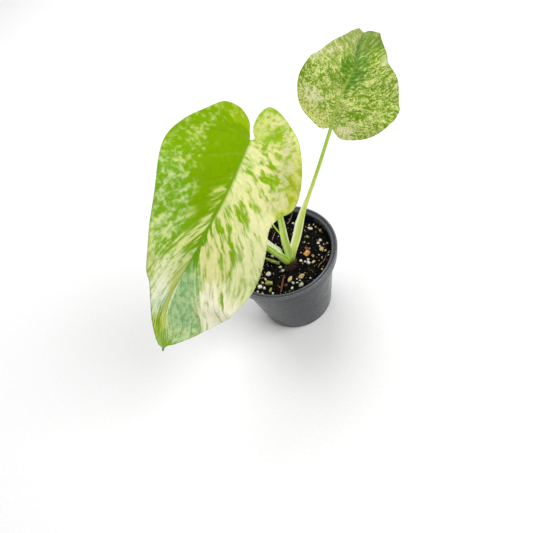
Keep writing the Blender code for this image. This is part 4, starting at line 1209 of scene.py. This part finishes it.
# %% Rods
def rod(name, route, radii, knobs, columns=12, rows=36):
    """A rolled grid that follows points (x, y, z), with a radius that wavers by the given share."""
    line, length = smooth_line(route, 120)

    def place(u, v):
        centre, ahead, up = square_frame(line, v, np.array((0.05, 0.02, 1.0)), 0.02)
        across = np.cross(ahead, up)
        angle = u * math.tau
        waver = 1 + knobs * np.sin(v * length * 1.9 + 2 * np.cos(angle)) * np.cos(v * length * 0.7)
        reach = between(radii, v) * waver
        out = up * np.cos(angle)[:, None] + across * np.sin(angle)[:, None]
        return centre + out * reach[:, None]

    piece, u, v = sheet(name, columns, rows, place)
    lay_map(piece, np.abs(u - 0.5) * 6, v * length)
    close_tube(piece)
    return piece


def on_mix(points, above):
    return [(x, y, soil_height(x, y) + above) for x, y in points]


ROOT_ROUTE = [(-4.5, -9.2), (-8.5, -5.5), (-13.5, 1), (-17.5, 5)]
TWIG_ROUTE = [(-5.0, -21.5), (-7.4, -25.2), (-9.3, -28.5), (-11.8, -32.8), (-13.4, -36.1)]
FORK_ROUTE = [(-11.8, -32.8), (-13.2, -30.6), (-14.0, -28.2)]

low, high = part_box("aerial_root")
root = rod("root_shoot", on_mix(ROOT_ROUTE, 2.0), [1.5, 1.5, 1.2, 0.8], 0.12)
stem = rod("twig_stem", on_mix(TWIG_ROUTE, 1.6), [0.6, 0.8, 0.9, 0.8, 0.55], 0.08)
fork = rod("twig_fork", on_mix(FORK_ROUTE, 1.6), [0.65, 0.6, 0.35], 0.08)
twig = joined("forked_twig", stem, fork)
print("root shoot between", [round(v / MM, 1) for v in (*low, *high)])

# %% Chip of bark
bpy.ops.object.select_all(action="DESELECT")
low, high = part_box("bark_chip")
middle = (low + high) / 2
bpy.ops.mesh.primitive_cube_add(size=1 * MM, location=(0, 0, 0))
chip = bpy.context.object
chip.name = "chip_of_bark"
in_edit_mode(chip, (bpy.ops.mesh.subdivide, {"number_cuts": 3}),
             (bpy.ops.transform.vertex_random, {"offset": 0.1 * MM, "seed": 4}))
modify(chip, "BEVEL", width=0.05 * MM, segments=1)
chip.data.transform(Matrix.Translation(middle) @ Matrix.Rotation(math.radians(25), 4, "Z")
                    @ Matrix.Diagonal((5.2, 4.0, 1.7, 1)))
print("chip of bark:", len(chip.data.polygons), "faces")


# %% Wood and root materials
def layered(name, dark, light, length, width, roughness):
    """Dry wood or a root: matt, with fibres that run along it as streaks of two browns or greens."""
    material, add = new_material(name)
    place = add("TexCoord").outputs["Object"]
    fitted = add("Mapping", {"Vector": place, "Scale": (1 / (length * MM), 1 / (width * MM),
                                                        1 / (width * MM))}).outputs[0]
    fibres = add("TexNoise", {"Vector": fitted, "Scale": 1.0, "Detail": 4.0}).outputs["Fac"]
    colour = add("ValToRGB", {"Fac": fibres}, [(0.35, dark), (0.65, light)]).outputs["Color"]
    bump = add("Bump", {"Height": fibres, "Strength": 0.6, "Distance": 0.2 * MM}).outputs[0]
    shader = add("BsdfPrincipled", {"Base Color": colour, "Roughness": roughness, "Normal": bump})
    add("OutputMaterial", {"Surface": shader.outputs[0]})
    return material


finish_piece(root, [layered("olive_root_skin", "55681A", "B4C24C", 1.4, 0.9, 0.6)], "root", "aerial_root")
finish_piece(twig, [layered("dry_red_brown_twig", "3A1E10", "7E4A30", 2, 0.8, 0.8)], "twig", "twig")
finish_piece(chip, [layered("flaky_orange_bark", "8A5420", "E8B45C", 3.2, 1.6, 0.8)], "bark", "bark_chip")

# %% [markdown]
# ## Thin fibres
# Three kinds of thread finish the plant: the peeled margin of a sheath, brown hairs of rotted sheath over a
# low heap at the foot of the stem, and a few pale root hairs across the mix.

# %% Peeled sheath margin
STRIP_THICKNESS = 0.35


def ribbon(name, route, widths, facing):
    """A thin strip along points, whose upper side faces the given way."""
    line, length = smooth_line(route, 80)

    def place(u, v):
        centre, ahead, up = square_frame(line, v, np.array(facing, float), 0.02)
        across = np.cross(ahead, up)
        bulge = up * (0.3 * hump(u - 0.5, 0.3))[:, None]
        return centre + across * ((u - 0.5) * between(widths, v))[:, None] + bulge

    piece, u, v = sheet(name, 6, 40, place)
    for layer in ("wing", "hollow", "cut"):
        paint(piece, layer, np.zeros(len(u)))
    lay_map(piece, u * 2, v * length)
    modify(piece, "SOLIDIFY", thickness=STRIP_THICKNESS * MM, offset=0)
    return piece


STRIP_ROUTE = [(5.6, -5.4, 99), (4.7, -4.6, 105.8), (3.0, -3.6, 112), (1.0, -1.8, 120), (-1.4, 0.2, 128)]

strip = ribbon("peeled_sheath_tip", STRIP_ROUTE, [1.6, 1.7, 1.6, 1.3, 0.5], (-0.6, -0.7, 0.3))
sheath = petiole_skin("yellow_green_sheath", "DCF04C", "ECF68A", "DCF04C", 0.5)
finish_piece(strip, [sheath], "petiole")

# %% Hairs
HAIRS = 110
HAIR_AREA = (6.0, 3.8)
HEAP_AT = (3.2, -15.4)
HEAP_RADII = (6.0, 4.0)
HEAP_PROFILE = [(0.1, -0.8), (0.9, -0.8), (1.0, 0.1), (0.9, 0.5), (0.6, 0.9), (0.3, 1.1), (0.1, 1.2)]
threads = []
for i in range(HAIRS):
    angle, out = draw.uniform(0, math.tau), draw.random() ** 0.5
    x = HEAP_AT[0] + HAIR_AREA[0] * out * math.cos(angle)
    y = HEAP_AT[1] + HAIR_AREA[1] * out * math.sin(angle)
    lean, reach = draw.uniform(0, math.tau), draw.uniform(1.2, 3.2)
    x2, y2 = x + reach * math.cos(lean), y + reach * math.sin(lean)
    low = 0.5 + 1.6 * (1 - out**2)
    route = [(x, y, soil_height(x, y) + low), ((x + x2) / 2, (y + y2) / 2, soil_height(x, y) + low + 0.5),
             (x2, y2, soil_height(x2, y2) + max(0.1, low - 0.8))]
    threads.append(rod(f"hair_{i}", route, [0.26, 0.24, 0.14], 0, columns=5, rows=5))
heap = turned("heap", HEAP_PROFILE, 28)
for vertex in heap.data.vertices:
    rough = 1 + 0.25 * noise.noise(vertex.co / MM * 2.0)
    vertex.co.x = vertex.co.x * HEAP_RADII[0] * rough + HEAP_AT[0] * MM
    vertex.co.y = vertex.co.y * HEAP_RADII[1] * rough + HEAP_AT[1] * MM
    vertex.co.z += soil_height(*HEAP_AT) * MM
hairs = joined("brown_sheath_hairs", heap, *threads)
finish_piece(hairs, [layered("rotted_sheath_fibre", "170A07", "4C261B", 1.2, 0.5, 0.9)], "stem")

# %% Root hairs across the mix
ROOT_HAIRS = [
    ([(16.5, 31.5, 72.8), (20.6, 33.4, 74.1), (25.2, 36, 79.6)], [0.26, 0.28, 0.2]),
    ([(-2.4, 20.2, 73.0), (0.8, 24.0, 73.6), (3.5, 27.2, 74.2)], [0.24, 0.26, 0.18]),
    (on_mix([(24, -27), (27, -24), (31.5, -22), (35, -18)], 0.3), [0.16, 0.2, 0.12]),
]
root_hairs = [rod(f"pale_hair_{i}", *hair, 0, 6, 24) for i, hair in enumerate(ROOT_HAIRS)]
pale_hairs = joined("pale_root_hairs", *root_hairs)
finish_piece(pale_hairs, [layered("pink_brown_root_hair", "7B5A4E", "C9A99C", 1.5, 0.5, 0.8)], "root")

# %% [markdown]
# ## Floor and light
# The plant stands on a plain pale floor. One large soft lamp high on the right is the key. Another stands
# behind the pot at the height where its lip mirrors it, so that the black plastic gets its grey sheen. A
# bright sky fills the rest, so that shadows stay light.

# %% Floor
bpy.ops.object.select_all(action="DESELECT")
bpy.ops.mesh.primitive_plane_add(size=8)
floor = bpy.context.object
floor.name = "floor"
paper, add = new_material("matt_white_paper")
place = add("TexCoord").outputs["Object"]
tooth = add("TexNoise", {"Vector": place, "Scale": 400.0, "Detail": 3.0}).outputs["Fac"]
white = add("ValToRGB", {"Fac": tooth}, [(0.3, "F4F4F4"), (0.7, "F8F8F8")]).outputs["Color"]
sheen = add("BsdfPrincipled", {"Base Color": white, "Roughness": 0.9, "Specular IOR Level": 0.1})
add("OutputMaterial", {"Surface": sheen.outputs[0]})
floor.data.materials.append(paper)

# %% Light
world = bpy.data.worlds.new("sky")
world.use_nodes = True
world.node_tree.nodes["Background"].inputs[0].default_value = (1.0, 1.0, 1.0, 1.0)
world.node_tree.nodes["Background"].inputs[1].default_value = 0.4
scene.world = world


def soft_lamp(name, at, power, size):
    """A square lamp that looks at the middle of the plant."""
    lamp = bpy.data.objects.new(name, bpy.data.lights.new(name, "AREA"))
    lamp.data.energy = power
    lamp.data.size = size
    lamp.location = at
    lamp.rotation_euler = (Vector((0, 0, 0.1)) - lamp.location).to_track_quat("-Z", "Y").to_euler()
    scene.collection.objects.link(lamp)


soft_lamp("key", (0.8, -0.55, 1.3), 14.5, 0.8)
soft_lamp("window", (0.06, 0.8, 1.25), 13, 1.2)
scene.view_settings.view_transform = "Standard"
